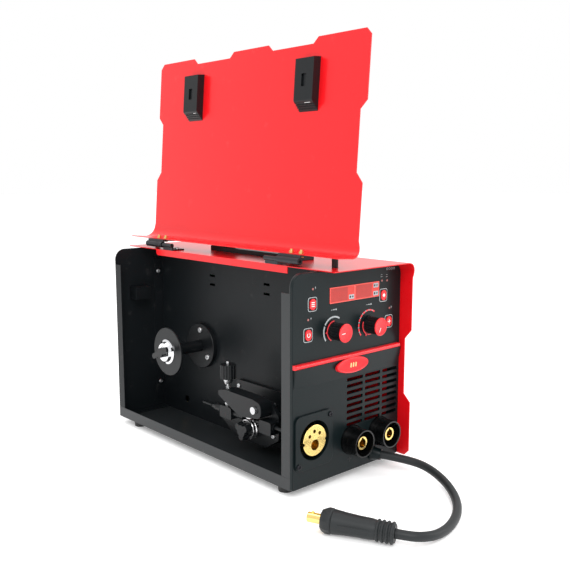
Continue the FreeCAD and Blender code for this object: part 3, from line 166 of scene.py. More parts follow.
class Finish:
    """One material: a principled shader, with node() as the way every other node is made."""

    def __init__(self, name, colour, roughness, metallic=0.0, **uniform):
        self.material = bpy.data.materials.new(name)
        self.material.use_nodes = True
        self.tree = self.material.node_tree
        self.shader = self.tree.nodes["Principled BSDF"]
        self.colour = tuple(colour)[:3]
        self.shader.inputs["Base Color"].default_value = (*self.colour, 1)
        self.shader.inputs["Roughness"].default_value = roughness
        self.shader.inputs["Metallic"].default_value = metallic
        for socket, value in uniform.items():
            self.shader.inputs[socket.replace("_", " ")].default_value = value
        self.material.diffuse_color = (*self.colour, 1)

    def node(self, kind, settings=None, inputs=None, output=0):
        made = self.tree.nodes.new(kind)
        for key, value in (settings or {}).items():
            if key == "stops":
                ramp = made.color_ramp.elements
                ramp[0].position, ramp[0].color = value[0]
                ramp[1].position, ramp[1].color = value[1]
            else:
                setattr(made, key, value)
        for key, value in (inputs or {}).items():
            if isinstance(value, Signal):
                self.tree.links.new(value.socket, made.inputs[key])
            else:
                made.inputs[key].default_value = value
        return Signal(self, made.outputs[output])

    def maths(self, operation, first, second):
        return self.node("ShaderNodeMath", {"operation": operation}, {0: first, 1: second})

    def place(self):
        return self.node("ShaderNodeTexCoord", output="Object")

    def axes(self):
        place = self.place()
        return [self.node("ShaderNodeSeparateXYZ", None, {0: place}, output) for output in range(3)]

    def noise(self, scale, detail=2.0, roughness=0.5, stretch=None):
        place = self.place()
        if stretch:
            place = self.node("ShaderNodeMapping", None, {"Vector": place, "Scale": stretch})
        return self.node("ShaderNodeTexNoise", None, {"Vector": place, "Scale": scale, "Detail": detail,
                                                      "Roughness": roughness})

    def spots(self, scale):
        return self.node("ShaderNodeTexVoronoi", None, {"Vector": self.place(), "Scale": scale})

    def step(self, value, low, high):
        stops = ((low, (0, 0, 0, 1)), (high, (1, 1, 1, 1)))
        return self.node("ShaderNodeValToRGB", {"stops": stops}, {0: value})

    def blend(self, factor, first, second):
        """Colour mix; either colour may be a plain triple or a signal."""
        pair = [c if isinstance(c, Signal) else (*tuple(c)[:3], 1) for c in (first, second)]
        inputs = {0: factor, 6: pair[0], 7: pair[1]}
        return self.node("ShaderNodeMix", {"data_type": "RGBA"}, inputs, output=2)

    def shade(self, amount):
        return tuple(min(1.0, channel * amount) for channel in self.colour)

    def feed(self, socket, signal):
        self.tree.links.new(signal.socket, self.shader.inputs[socket])

    def bump(self, height, strength, distance, under=None):
        inputs = {"Height": height, "Strength": strength, "Distance": distance}
        if under is not None:
            inputs["Normal"] = under
        return self.node("ShaderNodeBump", None, inputs)

    def soften(self, radius):
        """Normal that rounds the edges of a moulded or cast piece."""
        return self.node("ShaderNodeBevel", {"samples": 4}, {"Radius": radius})


def powder_coat(name, colour, roughness, peel, depth, coat, gloss=0.3):
    """Baked powder coat: fine peel, soft gloss variation and a trace of dust."""
    finish = Finish(name, colour, roughness, Coat_Weight=coat, Coat_Roughness=0.12, Specular_IOR_Level=gloss)
    skin = finish.noise(peel, 2.0)
    cloud = finish.noise(7.0, 3.0)
    dust = finish.step(finish.noise(38.0, 4.0, 0.7), 0.62, 0.80)
    tone = finish.blend(cloud, finish.shade(0.90), finish.shade(1.12))
    finish.feed("Base Color", finish.blend(dust * 0.05, tone, (0.45, 0.43, 0.41)))
    finish.feed("Roughness", roughness + (cloud - 0.5) * 0.10 + (skin - 0.5) * 0.05 + dust * 0.05)
    finish.feed("Normal", finish.bump(skin, depth, 0.0004))
    return finish.material


def moulded(name, colour, roughness, grain, depth, edge=0.0, gloss=0.3):
    """Injection-moulded plastic: spark-eroded grain with slightly polished high spots."""
    finish = Finish(name, colour, roughness, Specular_IOR_Level=gloss)
    skin = finish.spots(grain)
    cloud = finish.noise(11.0, 3.0)
    finish.feed("Base Color", finish.blend(cloud, finish.shade(0.86), finish.shade(1.18)))
    finish.feed("Roughness", roughness + (cloud - 0.5) * 0.12 - skin * 0.06)
    under = finish.soften(edge) if edge else None
    finish.feed("Normal", finish.bump(skin, depth, 0.00025, under))
    return finish.material


def rubbery(name, colour):
    """Soft rubber with a bloom that greys it in patches."""
    finish = Finish(name, colour, 0.55, Sheen_Weight=0.02, Sheen_Roughness=0.5, Specular_IOR_Level=0.35)
    bloom = finish.noise(24.0, 4.0, 0.6)
    grain = finish.noise(1600.0, 1.0)
    finish.feed("Base Color", finish.blend(bloom, finish.shade(0.75), finish.shade(1.45)))
    finish.feed("Roughness", 0.50 + (bloom - 0.5) * 0.22)
    finish.feed("Normal", finish.bump(grain, 0.10, 0.0002))
    return finish.material


def metal(name, colour, roughness, brushed=(1, 1, 1), tarnish=0.12, scratches=420.0, blackened=None):
    """Plated or turned metal with directional scratches; in front of the blackened plane it is dark."""
    finish = Finish(name, colour, roughness, 1.0)
    marks = finish.noise(scratches, 3.0, 0.6, brushed)
    cloud = finish.noise(60.0, 3.0)
    dull = finish.step(cloud, 0.45, 0.75) * tarnish
    tone = finish.blend(dull, finish.colour, finish.shade(0.45))
    if blackened is not None:
        behind = finish.axes()[1] > blackened
        tone = finish.blend(behind, BLACKENED, tone)
    finish.feed("Base Color", tone)
    finish.feed("Roughness", roughness + (marks - 0.5) * 0.18 + dull)
    finish.feed("Normal", finish.bump(marks, 0.08, 0.0002))
    return finish.material


def turned_metal(name, colour, roughness, centre):
    """Metal faced on a lathe: rings about an axis along Y."""
    finish = Finish(name, colour, roughness, 1.0)
    across, along, up = finish.axes()
    reach = ((across - centre[0]) ** 2.0 + (up - centre[1]) ** 2.0) ** 0.5
    rings = finish.node("ShaderNodeMath", {"operation": "SINE"}, {0: reach * RING_RATE})
    cloud = finish.noise(70.0, 3.0)
    dull = finish.step(cloud, 0.5, 0.8) * 0.06
    finish.feed("Base Color", finish.blend(dull, finish.colour, finish.shade(0.6)))
    finish.feed("Roughness", roughness + rings * 0.03 + cloud * 0.08)
    finish.feed("Normal", finish.bump(rings, 0.12, 0.0001))
    return finish.material


def glossy_plastic(name, colour, roughness, painted_glow=0.0, swirl=0.06):
    """Smooth plastic with faint flow marks; the emission argument gives it a faint painted glow, though the
    part is no lamp.
    """
    finish = Finish(name, colour, roughness, Coat_Weight=0.12, Coat_Roughness=0.06, Specular_IOR_Level=0.35)
    flow = finish.noise(45.0, 3.0, 0.55, (1, 1, 3))
    finish.feed("Base Color", finish.blend(flow, finish.shade(0.88), finish.shade(1.10)))
    finish.feed("Roughness", roughness + (flow - 0.5) * swirl)
    # Painted glow: emission on a part that is no lamp.
    if painted_glow:
        finish.shader.inputs["Emission Color"].default_value = (*finish.colour, 1)
        finish.shader.inputs["Emission Strength"].default_value = painted_glow
    return finish.material


def board_laminate(name):
    """Circuit board: tracks and pads under green lacquer."""
    finish = Finish(name, (0.012, 0.075, 0.032), 0.35, Coat_Weight=0.4)
    layout = {"Vector": finish.place(), "Scale": 90.0, "Mortar Size": 0.03}
    tracks = finish.node("ShaderNodeTexBrick", None, layout, output="Fac")
    pads = finish.step(finish.spots(190.0), 0.16, 0.22)
    lacquer = finish.blend(tracks * 0.6, finish.shade(1.0), finish.shade(2.2))
    finish.feed("Base Color", finish.blend(pads, (0.55, 0.50, 0.40), lacquer))
    return finish.material


FINISHES = {}


def make_finishes():
    """Every finish of the machine, by name."""
    tint = bpy.context.scene.welder_finishes
    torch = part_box("torch_body")
    torch_axis = ((torch[0].x + torch[1].x) / 2, (torch[0].z + torch[1].z) / 2)
    FINISHES.update({
        "cover": powder_coat("gloss_red_powder_coat", tint.cover, 0.30, 520.0, 0.05, 0.30, 0.3),
        "case": powder_coat("textured_grey_powder_coat", tint.case, 0.44, 1500.0, 0.22, 0.0, 0.5),
        # Rear panel, partition and feed motor: the case coat painted darker as painted shade for the shadowed
        # wire compartment.
        "painted_shade_case": powder_coat("painted_shade_grey_powder_coat", (0.0045, 0.0062, 0.0075), 0.44, 1500.0, 0.22, 0.0,
                                  0.22),
        "moulding": moulded("grained_panel_plastic", tint.moulding, 0.36, 1500.0, 0.08, 0.0007, 0.18),
        "shell": moulded("black_socket_plastic", (0.0016, 0.0018, 0.0020), 0.22, 2200.0, 0.03, 0.0004, 0.35),
        "nylon": moulded("black_nylon", tint.nylon, 0.40, 1100.0, 0.14, 0.0004),
        "knob": moulded("black_knob_plastic", tint.nylon, 0.34, 1800.0, 0.06, 0.0003),
        "rubber": rubbery("grey_black_rubber", tint.rubber),
        "feet": rubbery("foot_rubber", (0.012, 0.012, 0.012)),
        "accent": glossy_plastic("gloss_red_plastic", tint.accent, 0.24),
        # The display window, its unlit digit fields and segments and the window rim get a painted glow by
        # emission; the display is off.
        "window": glossy_plastic("red_display_window", tint.window, 0.16, 0.22),
        "digit": glossy_plastic("unlit_digit_field", (0.36, 0.018, 0.012), 0.20, 0.10),
        "segment": glossy_plastic("unlit_segment", (0.40, 0.021, 0.014), 0.25, 0.10),
        "window_edge": glossy_plastic("window_edge_red", (0.78, 0.12, 0.10), 0.25, 0.05),
        "pale_gold": moulded("pale_gold_print", (0.72, 0.50, 0.22), 0.40, 900.0, 0.02),
        "lens": glossy_plastic("lamp_lens", (0.30, 0.10, 0.09), 0.15),
        "print": moulded("light_panel_print", tint.print_grey, 0.50, 900.0, 0.02),
        "print_red": moulded("red_panel_print", (0.72, 0.05, 0.06), 0.45, 900.0, 0.02),
        "print_white": moulded("white_print", (0.74, 0.74, 0.72), 0.45, 900.0, 0.02),
        "tile": moulded("grey_tile_print", (0.34, 0.36, 0.38), 0.45, 900.0, 0.02),
        "brass": metal("machined_brass", tint.brass, 0.18, (1, 6, 1), 0.05),
        "torch_brass": turned_metal("faced_brass", tint.brass, 0.17, torch_axis),
        "zinc": metal("bright_zinc_plate", tint.zinc, 0.32, (1, 1, 1), 0.15, 800.0, FACE_Y + 3 * mm),
        "yellow_zinc": metal("yellow_zinc_plate", (0.72, 0.52, 0.20), 0.34, (1, 1, 1), 0.20, 800.0),
        "black_steel": metal("blackened_steel", (0.055, 0.055, 0.060), 0.38, (1, 1, 1), 0.20, 700.0),
        "chrome": metal("polished_chrome", (0.80, 0.81, 0.83), 0.09, (1, 1, 1), 0.03, 260.0),
        "roll": metal("ground_steel", (0.66, 0.66, 0.67), 0.24, (8, 1, 1), 0.08),
        "aluminium": metal("extruded_aluminium", (0.72, 0.73, 0.75), 0.36, (1, 14, 1), 0.10),
        "ferrite": powder_coat("ferrite_core", (0.030, 0.030, 0.034), 0.62, 900.0, 0.20, 0.0),
        "board": board_laminate("circuit_board"),
    })


NODE_FINISHES = {
    "cover": ("right_cover", "door"),
    "case": ("base_tray", "front_frame"),
    # These parts take the darker coat of painted shade; they are painted like the case.
    "painted_shade_case": ("rear_panel", "partition", "feed_motor"),
    "moulding": ("front_moulding", "torch_flange", "cable_outlet"),
    "nylon": ("carry_handle", "latch_housings", "latch_slider_front", "latch_slider_rear", "spool_flange",
              "spool_hub", "spool_disc", "feeder_body", "pressure_arm", "roll_knob", "tension_knob",
              "fan_frame", "fan_rotor", "power_switch", "mains_gland"),
    "knob": ("knob_left", "knob_right", "wing_nut", "inlet_guide", "outlet_guide"),
    "shell": ("socket_shells",),
    "rubber": ("polarity_cable", "plug_sleeve"),
    "feet": ("rubber_pads",),
    "accent": ("trim_bar", "button_mode", "button_purge", "button_select", "button_trigger", "power_rocker"),
    "window": ("display_window",),
    "lens": ("indicator_lights",),
    "brass": ("socket_inserts", "plug_pin", "gas_valve"),
    "torch_brass": ("torch_body",),
    "zinc": ("fasteners", "spool_spindle", "tension_lever", "fan_guard"),
    "black_steel": ("hinge_roof_leaves", "hinge_door_leaves", "hinge_pins"),
    "yellow_zinc": ("hinge_door_screws",),
    "chrome": ("brake_cap",),
    "roll": ("drive_roll", "pressure_roller"),
    "aluminium": ("heat_sinks",),
    "ferrite": ("transformer",),
    "board": ("circuit_boards",),
}


# ---- modelling ----
def finish_piece(bm, name, finish, body, sharp=35.0):
    """Turn a bmesh into an object that rides on a body."""
    bmesh.ops.remove_doubles(bm, verts=bm.verts, dist=1e-6)
    bmesh.ops.recalc_face_normals(bm, faces=bm.faces)
    mesh = bpy.data.meshes.new(name)
    bm.to_mesh(mesh)
    bm.free()
    for face in mesh.polygons:
        face.use_smooth = True
    mesh.set_sharp_from_angle(angle=math.radians(sharp))
    piece = bpy.data.objects.new(name, mesh)
    bpy.context.scene.collection.objects.link(piece)
    mesh.materials.append(FINISHES[finish])
    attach(piece, body)
    return piece


def round_edges(bm, edges, offset, segments=2):
    bmesh.ops.bevel(bm, geom=list(edges), offset=offset, offset_type="OFFSET", segments=segments,
                    profile=0.5, affect="EDGES", clamp_overlap=True, material=-1)


def facing_front(x, y, z):
    """Matrix that stands a flat shape upright at a point, facing the front."""
    return Matrix.Translation((x, y, z)) @ Matrix.Rotation(math.pi / 2, 4, "X")


def flat_panel(bm, width, height, radius, matrix, steps=5):
    """Flat rounded rectangle; returns its face."""
    made = bmesh.ops.create_grid(bm, x_segments=1, y_segments=1, size=0.5)
    corners = made["verts"]
    bmesh.ops.scale(bm, verts=corners, vec=(width, height, 1))
    if radius > 0:
        cut = bmesh.ops.bevel(bm, geom=corners, offset=radius, offset_type="OFFSET", segments=steps,
                              profile=0.5, affect="VERTICES", clamp_overlap=True, material=-1)
        corners = cut["verts"]
    face = next(iter(corners[0].link_faces))
    bmesh.ops.transform(bm, matrix=matrix, verts=face.verts)
    return face


def raise_faces(bm, faces, offset):
    """Extrude faces by a vector."""
    grown = bmesh.ops.extrude_face_region(bm, geom=faces)
    verts = [item for item in grown["geom"] if isinstance(item, bmesh.types.BMVert)]
    bmesh.ops.translate(bm, verts=verts, vec=offset)


def add_plate(bm, x, z, width, height, radius, depth, y=FACE_Y, turn=0.0, steps=5):
    """Raised rounded plate on the panel face."""
    matrix = facing_front(x, y, z) @ Matrix.Rotation(turn, 4, "Z")
    face = flat_panel(bm, width, height, radius, matrix, steps)
    raise_faces(bm, [face], (0, -depth, 0))


def add_outline(bm, x, z, width, height, radius, line, depth):
    """Raised rounded outline on the panel face."""
    face = flat_panel(bm, width, height, radius, facing_front(x, FACE_Y, z), 6)
    inset = bmesh.ops.inset_region(bm, faces=[face], thickness=line, use_even_offset=True, use_boundary=True)
    bmesh.ops.delete(bm, geom=[face], context="FACES")
    raise_faces(bm, inset["faces"], (0, -depth, 0))


def add_arc(bm, x, z, radius, width, depth, start, sweep, y=FACE_Y):
    """Raised band round a point on the panel; angles are clockwise from straight up, in degrees."""
    direction = Vector((math.sin(math.radians(start)), 0, math.cos(math.radians(start))))
    centre = Vector((x, y, z))
    corners = [centre + direction * (radius + side * width / 2) + Vector((0, -lift * depth, 0))
               for side, lift in ((-1, 0), (1, 0), (1, 1), (-1, 1))]
    face = bm.faces.new([bm.verts.new(corner) for corner in corners])
    geom = list(face.verts) + list(face.edges) + [face]
    steps = max(2, int(abs(sweep) / 6))
    bmesh.ops.spin(bm, geom=geom, cent=centre, axis=(0, 1, 0), angle=math.radians(sweep), steps=steps)


def add_polygon(bm, points, depth, y=FACE_Y):
    """Raised flat shape from a few (x, z) corners."""
    face = bm.faces.new([bm.verts.new((px, y, pz)) for px, pz in points])
    raise_faces(bm, [face], (0, -depth, 0))


def add_turned(bm, profile, matrix, steps=40):
    """Solid of revolution from (radius, height) points about the matrix's Z axis."""
    verts = [bm.verts.new((radius, 0, height)) for radius, height in profile]
    edges = [bm.edges.new(pair) for pair in zip(verts, verts[1:])]
    bmesh.ops.spin(bm, geom=verts + edges, cent=(0, 0, 0), axis=(0, 0, 1), angle=math.tau, steps=steps,
                   use_merge=True)
    every = set(verts)
    pending = list(every)
    while pending:
        vert = pending.pop()
        for edge in vert.link_edges:
            other = edge.other_vert(vert)
            if other not in every:
                every.add(other)
                pending.append(other)
    bmesh.ops.transform(bm, matrix=matrix, verts=list(every))


def centre_of(node):
    low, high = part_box(node)
    return (low + high) / 2


# ---- operators ----
class WELDER_OT_stage(bpy.types.Operator):
    """Camera, pale floor and soft studio lights"""
    bl_idname = "welder.stage"
    bl_label = "Stage"

    def soft_box(self, name, place, aim, size, power):
        lamp = bpy.data.lights.new(name, "AREA")
        lamp.shape = "RECTANGLE"
        lamp.size, lamp.size_y = size
        lamp.energy = power
        holder = bpy.data.objects.new(name, lamp)
        holder.location = place
        holder.rotation_euler = (Vector(aim) - Vector(place)).to_track_quat("-Z", "Y").to_euler()
        bpy.context.scene.collection.objects.link(holder)

    def execute(self, context):
        stage = context.scene.welder_stage
        camera = bpy.data.cameras.new("camera")
        camera.lens = stage.lens
        camera.sensor_width = 36.0
        camera.clip_end = 60.0
        holder = bpy.data.objects.new("camera", camera)
        holder.location = stage.station
        holder.rotation_euler = (math.pi / 2 - stage.tilt, 0, -stage.turn)
        context.scene.collection.objects.link(holder)
        context.scene.camera = holder
        bm = bmesh.new()
        bmesh.ops.create_grid(bm, x_segments=2, y_segments=2, size=14.0)
        mesh = bpy.data.meshes.new("studio_floor")
        bm.to_mesh(mesh)
        bm.free()
        floor = bpy.data.objects.new("studio_floor", mesh)
        context.scene.collection.objects.link(floor)
        paper = Finish("pale_paper", stage.floor, 0.75)
        paper.feed("Base Color", paper.blend(paper.noise(3.0), paper.shade(0.985), paper.shade(1.0)))
        paper.shader.inputs["Emission Color"].default_value = (1, 1, 1, 1)
        paper.shader.inputs["Emission Strength"].default_value = 0.22
        mesh.materials.append(paper.material)
        world = bpy.data.worlds.new("studio_air")
        world.use_nodes = True
        world.node_tree.nodes["Background"].inputs["Color"].default_value = (1, 1, 1, 1)
        world.node_tree.nodes["Background"].inputs["Strength"].default_value = 1.0
        context.scene.world = world
        self.soft_box("key_box", (-1.5, -1.7, 1.9), (0, -0.05, 0.25), (1.5, 1.2), 42)
        self.soft_box("fill_box", (1.7, -1.6, 1.2), (0.05, 0, 0.2), (1.2, 1.2), 16)
        self.soft_box("top_box", (0.1, 0.5, 2.4), (0, 0, 0.3), (2.0, 1.6), 22)
        context.scene.view_settings.view_transform = "Standard"
        return {"FINISHED"}


class WELDER_OT_finishes(bpy.types.Operator):
    """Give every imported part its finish"""
    bl_idname = "welder.finishes"
    bl_label = "Finishes"

    def execute(self, context):
        make_finishes()
        done = set()
        for finish, nodes in NODE_FINISHES.items():
            for node in nodes:
                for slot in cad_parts[node].material_slots:
                    slot.material = FINISHES[finish]
                done.add(node)
        missed = set(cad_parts) - done
        if missed:
            raise RuntimeError("no finish for %s" % sorted(missed))
        return {"FINISHED"}


class WELDER_OT_polarity_lead(bpy.types.Operator):
    """Polarity lead on the floor, with the rubber sleeve of its plug"""
    bl_idname = "welder.polarity_lead"
    bl_label = "Polarity lead"

    def execute(self, context):
        lead = context.scene.welder_lead
        curve = bpy.data.curves.new("polarity_lead", "CURVE")
        curve.dimensions = "3D"
        spline = curve.splines.new("NURBS")
        spline.points.add(len(LEAD_ROUTE) - 1)
        for point, place in zip(spline.points, LEAD_ROUTE):
            point.co = (*(Vector(place) * mm), 1)
        spline.order_u = 3
        spline.use_endpoint_u = True
        spline.resolution_u = 16
        curve.bevel_depth = lead.diameter / 2
        curve.bevel_resolution = 8
        curve.use_fill_caps = True
        curve.materials.append(FINISHES["rubber"])
        cable = bpy.data.objects.new("polarity_lead", curve)
        context.scene.collection.objects.link(cable)
        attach(cable, "case")
        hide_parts("polarity_cable")
        sleeve = self.sleeve(lead)
        return {"FINISHED"}

    def sleeve(self, lead):
        tail = Vector(LEAD_ROUTE[-1]) * mm
        heading = (tail - Vector(LEAD_ROUTE[-2]) * mm).normalized()
        matrix = Matrix.Translation(tail) @ heading.to_track_quat("Z", "Y").to_matrix().to_4x4()
        bm = bmesh.new()
        rings = [(6.1 * mm, 0.4 * mm), (11.2 * mm, 0)]
        for rib in range(4):
            foot = (1.2 + rib * 6.0) * mm
            rings += [(11.7 * mm, foot), (13.2 * mm, foot + 0.5 * mm), (13.75 * mm, foot + 1.4 * mm),
                      (13.75 * mm, foot + 2.3 * mm), (13.2 * mm, foot + 3.2 * mm),
                      (11.9 * mm, foot + 3.9 * mm)]
        shoulder = lead.sleeve - 16 * mm
        rings += [(12.4 * mm, 26 * mm), (12.9 * mm, 30 * mm), (13.1 * mm, 46 * mm), (13.9 * mm, 62 * mm),
                  (15.2 * mm, shoulder), (15.3 * mm, shoulder + 1.0 * mm), (14.2 * mm, shoulder + 1.4 * mm),
                  (0, shoulder + 1.4 * mm)]
        add_turned(bm, rings, matrix, 48)
        head = [(0, shoulder + 1.2 * mm), (14.6 * mm, shoulder + 1.2 * mm), (lead.head, shoulder + 3.4 * mm),
                (lead.head, lead.sleeve - 6.5 * mm), (13.4 * mm, lead.sleeve - 0.8 * mm),
                (12.6 * mm, lead.sleeve), (8.0 * mm, lead.sleeve), (7.4 * mm, lead.sleeve - 1.2 * mm),
                (0, lead.sleeve - 1.2 * mm)]
        spoke = Matrix.Rotation(math.pi / lead.facets, 4, "Z")
        add_turned(bm, head, matrix @ spoke, lead.facets)
        for side in (0, 180):
            rail = bmesh.ops.create_cube(bm, size=1.0)["verts"]
            bmesh.ops.scale(bm, verts=rail, vec=(1.0 * mm, 7.0 * mm, 38 * mm))
            edges = {edge for vert in rail for edge in vert.link_edges}
            round_edges(bm, edges, 0.35 * mm)
            rail = [v for v in bm.verts
                    if abs(v.co.x) < 1.1 * mm and abs(v.co.y) < 4 * mm and abs(v.co.z) < 20 * mm]
            lean = Matrix.Rotation(math.radians(side), 4, "Z") @ Matrix.Translation((13.3 * mm, 0, 50 * mm))
            lean = lean @ Matrix.Rotation(math.radians(2.6), 4, "Y")
            bmesh.ops.transform(bm, matrix=matrix @ lean, verts=rail)
        sleeve = finish_piece(bm, "plug_handle", "rubber", "case", 30.0)
        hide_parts("plug_sleeve")
        return sleeve


class WELDER_OT_buttons(bpy.types.Operator):
    """Outlines round the push buttons and the plain marks on them"""
    bl_idname = "welder.buttons"
    bl_label = "Push buttons"

    def execute(self, context):
        panel = context.scene.welder_panel
        for name in ("mode", "purge", "select", "trigger"):
            low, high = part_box("button_" + name)
            x, z = (low.x + high.x) / 2, (low.z + high.z) / 2
            bm = bmesh.new()
            add_outline(bm, x, z, panel.frame_width, panel.frame_width + 2.4 * mm, 3.6 * mm, panel.frame_line,
                        0.35 * mm)
            finish_piece(bm, name + "_button_outline", "print", "case")
            bm = bmesh.new()
            add_outline(bm, x, z, panel.frame_width - 2.0 * mm, panel.frame_width + 0.4 * mm, 3.0 * mm,
                        1.4 * mm, 0.7 * mm)
            finish_piece(bm, name + "_button_surround", "shell", "case")
            bm = bmesh.new()
            face = low.y + 0.02 * mm
            if name == "mode":
                for row in (-1, 0, 1):
                    add_plate(bm, x, z + row * 2.6 * mm, 6.0 * mm, 1.1 * mm, 0.4 * mm, 0.12 * mm, face)
            elif name == "select":
                add_plate(bm, x, z, 4.2 * mm, 4.2 * mm, 0.5 * mm, 0.12 * mm, face, math.pi / 4)
            elif name == "purge":
                add_arc(bm, x, z, 2.6 * mm, 0.9 * mm, 0.12 * mm, 30, 300, face)
            else:
                for turn in (0, math.pi / 2):
                    add_plate(bm, x, z, 6.0 * mm, 1.1 * mm, 0.4 * mm, (0.10 + 0.02 * turn) * mm, face, turn)
            finish_piece(bm, name + "_button_mark", "print_white", name + "_button")
        return {"FINISHED"}


class WELDER_OT_knobs(bpy.types.Operator):
    """Knob caps with pointer lines, skirt pointers and the dial arcs behind them"""
    bl_idname = "welder.knobs"
    bl_label = "Knobs and dials"

    def execute(self, context):
        panel = context.scene.welder_panel
        for side, pointer in (("left", -93.0), ("right", -155.0)):
            low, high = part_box("knob_" + side)
            x, z = (low.x + high.x) / 2, (low.z + high.z) / 2
            bm = bmesh.new()
            front = facing_front(x, low.y, z)
            r, d = panel.cap_radius, panel.cap_depth
            add_turned(bm, [(0, -0.4 * mm), (r - 0.8 * mm, -0.4 * mm), (r, 0.1 * mm), (r, d * 0.55),
                            (r - 0.5 * mm, d * 0.92), (r - 1.2 * mm, d), (r - 1.8 * mm, d - 0.15 * mm),
                            (0, d - 0.15 * mm)], front, 56)
            finish_piece(bm, side + "_knob_cap", "accent", side + "_knob", 40)
            bm = bmesh.new()
            angle = math.radians(pointer)
            reach = 6.8 * mm
            add_plate(bm, x + math.sin(angle) * reach * 0.72, z + math.cos(angle) * reach * 0.72, 0.9 * mm,
                      reach, 0.3 * mm, 0.12 * mm, low.y - d + 0.12 * mm, -angle)
            finish_piece(bm, side + "_cap_line", "print_white", side + "_knob")
            bm = bmesh.new()
            skirt = FACE_Y - 1.2 * mm
            add_arc(bm, x, z, 14.1 * mm, 1.4 * mm, 0.5 * mm, pointer - 60, 150, skirt)
            tip = Vector((math.sin(angle), math.cos(angle)))
            flank = Vector((tip.y, -tip.x))
            corners = [Vector((x, z)) + tip * 17.6 * mm, Vector((x, z)) + tip * 13.9 * mm + flank * 2.4 * mm,
                       Vector((x, z)) + tip * 13.9 * mm - flank * 2.4 * mm]
            add_polygon(bm, corners, 0.5 * mm, skirt)
            finish_piece(bm, side + "_skirt_pointer", "print_red", side + "_knob")
            bm = bmesh.new()
            if side == "left":
                for start, sweep in ((-128, 62), (-60, 94)):
                    add_arc(bm, x, z, panel.left_dial, panel.dial_width, 0.25 * mm, start, sweep)
                finish_piece(bm, "left_dial_arc", "print", "case")
            else:
                for index in range(9):
                    add_arc(bm, x, z, panel.right_dial, panel.dial_width, 0.25 * mm, -130 + index * 19, 12)
                finish_piece(bm, "right_dial_arc", "print_red", "case")
                bm = bmesh.new()
                for index in range(8):
                    add_arc(bm, x, z, panel.right_dial, panel.dial_width, 0.25 * mm, -116 + index * 19, 4)
                finish_piece(bm, "right_dial_steps", "print", "case")
        return {"FINISHED"}


class WELDER_OT_displays(bpy.types.Operator):
    """Digit fields, segments and unit tiles behind the red window"""
    bl_idname = "welder.displays"
    bl_label = "Displays"

    def digit(self, bm, x, z, y):
        """One seven-segment figure, all segments unlit."""
        half, tall, wide = 1.9 * mm, 3.9 * mm, 0.75 * mm
        bars = ((0, 2, 0), (0, 0, 0), (0, -2, 0), (-1, 1, 1), (1, 1, 1), (-1, -1, 1), (1, -1, 1))
        for dx, dz, upright in bars:
            cx, cz = x + dx * half, z + dz * tall / 2
            long = (tall if upright else 2 * half) - 1.2 * wide
            size = (wide, long) if upright else (long, wide)
            add_plate(bm, cx, cz, size[0], size[1], 0.34 * mm, 0.05 * mm, y, 0.0, 1)

    def execute(self, context):
        low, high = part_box("display_window")
        middle = (low.z + high.z) / 2
        width = high.x - low.x
        height = high.z - low.z
        fields = (low.x + width * 0.185, low.x + width * 0.680)
        bm = bmesh.new()
        for x in fields:
            add_plate(bm, x, middle, 33 * mm, height - 3.6 * mm, 0.6 * mm, 0.08 * mm, low.y)
        finish_piece(bm, "digit_fields", "digit", "case")
        bm = bmesh.new()
        for x in fields:
            for step in (-1, 0, 1):
                self.digit(bm, x + step * 9.4 * mm, middle, low.y - 0.08 * mm)
        finish_piece(bm, "digit_segments", "segment", "case")
        tiles = ((0.425, -5.4), (0.930, 5.8), (0.930, -5.8))
        bm = bmesh.new()
        for share, up in tiles:
            x, z = low.x + width * share, middle + up * mm
            add_plate(bm, x, z, 10.5 * mm, 6.4 * mm, 0.5 * mm, 0.1 * mm, low.y)
        finish_piece(bm, "unit_tiles", "tile", "case")
        bm = bmesh.new()
        for share, up in tiles:
            x, z = low.x + width * share, middle + up * mm
            add_plate(bm, x - 2.6 * mm, z, 2.8 * mm, 3.2 * mm, 1.2 * mm, 0.05 * mm, low.y - 0.1 * mm)
            add_plate(bm, x + 2.2 * mm, z, 3.4 * mm, 1.0 * mm, 0.2 * mm, 0.05 * mm, low.y - 0.1 * mm)
            add_plate(bm, x + 2.2 * mm, z, 1.0 * mm, 3.2 * mm, 0.2 * mm, 0.06 * mm, low.y - 0.1 * mm)
        finish_piece(bm, "unit_marks", "shell", "case")
        bm = bmesh.new()
        line = 0.7 * mm
        split = low.x + width * 0.49
        for start, end in ((low.x, split - 0.4 * mm), (split + 0.4 * mm, high.x)):
            add_outline(bm, (start + end) / 2, middle, end - start, height, 1.0 * mm, line, 0.35 * mm)
        finish_piece(bm, "window_rim", "window_edge", "case")
        return {"FINISHED"}


class WELDER_OT_badge(bpy.types.Operator):
    """Plain oval badge on the sloping chin"""
    bl_idname = "welder.badge"
    bl_label = "Badge"

    def execute(self, context):
        panel = context.scene.welder_panel
        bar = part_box("trim_bar")
        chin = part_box("front_moulding")[0].y
        lean = math.atan2(FACE_Y - chin, bar[0].z - CHIN_FOOT)
        middle = Vector((-0.5 * mm, bar[0].y - 0.6 * mm, bar[0].z - 9.6 * mm))
        lay = facing_front(*middle) @ Matrix.Rotation(-lean, 4, "X")
        stretch = Matrix.Diagonal((panel.badge_width / 2, panel.badge_height / 2, 1, 1))
        bm = bmesh.new()
        section = [(0, -6.5 * mm), (0.97, -6.5 * mm), (1.0, 0.2 * mm), (0.985, 0.7 * mm), (0.95, 0.9 * mm),
                   (0.92, 0.75 * mm), (0.88, 0.6 * mm), (0.5, 0.9 * mm), (0, 1.0 * mm)]
        add_turned(bm, section, lay @ stretch, 72)
        finish_piece(bm, "badge", "accent", "case", 50)
        bm = bmesh.new()
        for shift in (-5.0, 0.0, 5.0):
            bar_lay = lay @ Matrix.Translation((shift * mm, 0, 0.85 * mm)) @ Matrix.Rotation(-0.35, 4, "Z")
            face = flat_panel(bm, 2.4 * mm, 6.4 * mm, 0.6 * mm, bar_lay, 3)
            raise_faces(bm, [face], lay.to_3x3() @ Vector((0, 0, 0.3 * mm)))
        finish_piece(bm, "badge_marks", "pale_gold", "case", 50)
        return {"FINISHED"}


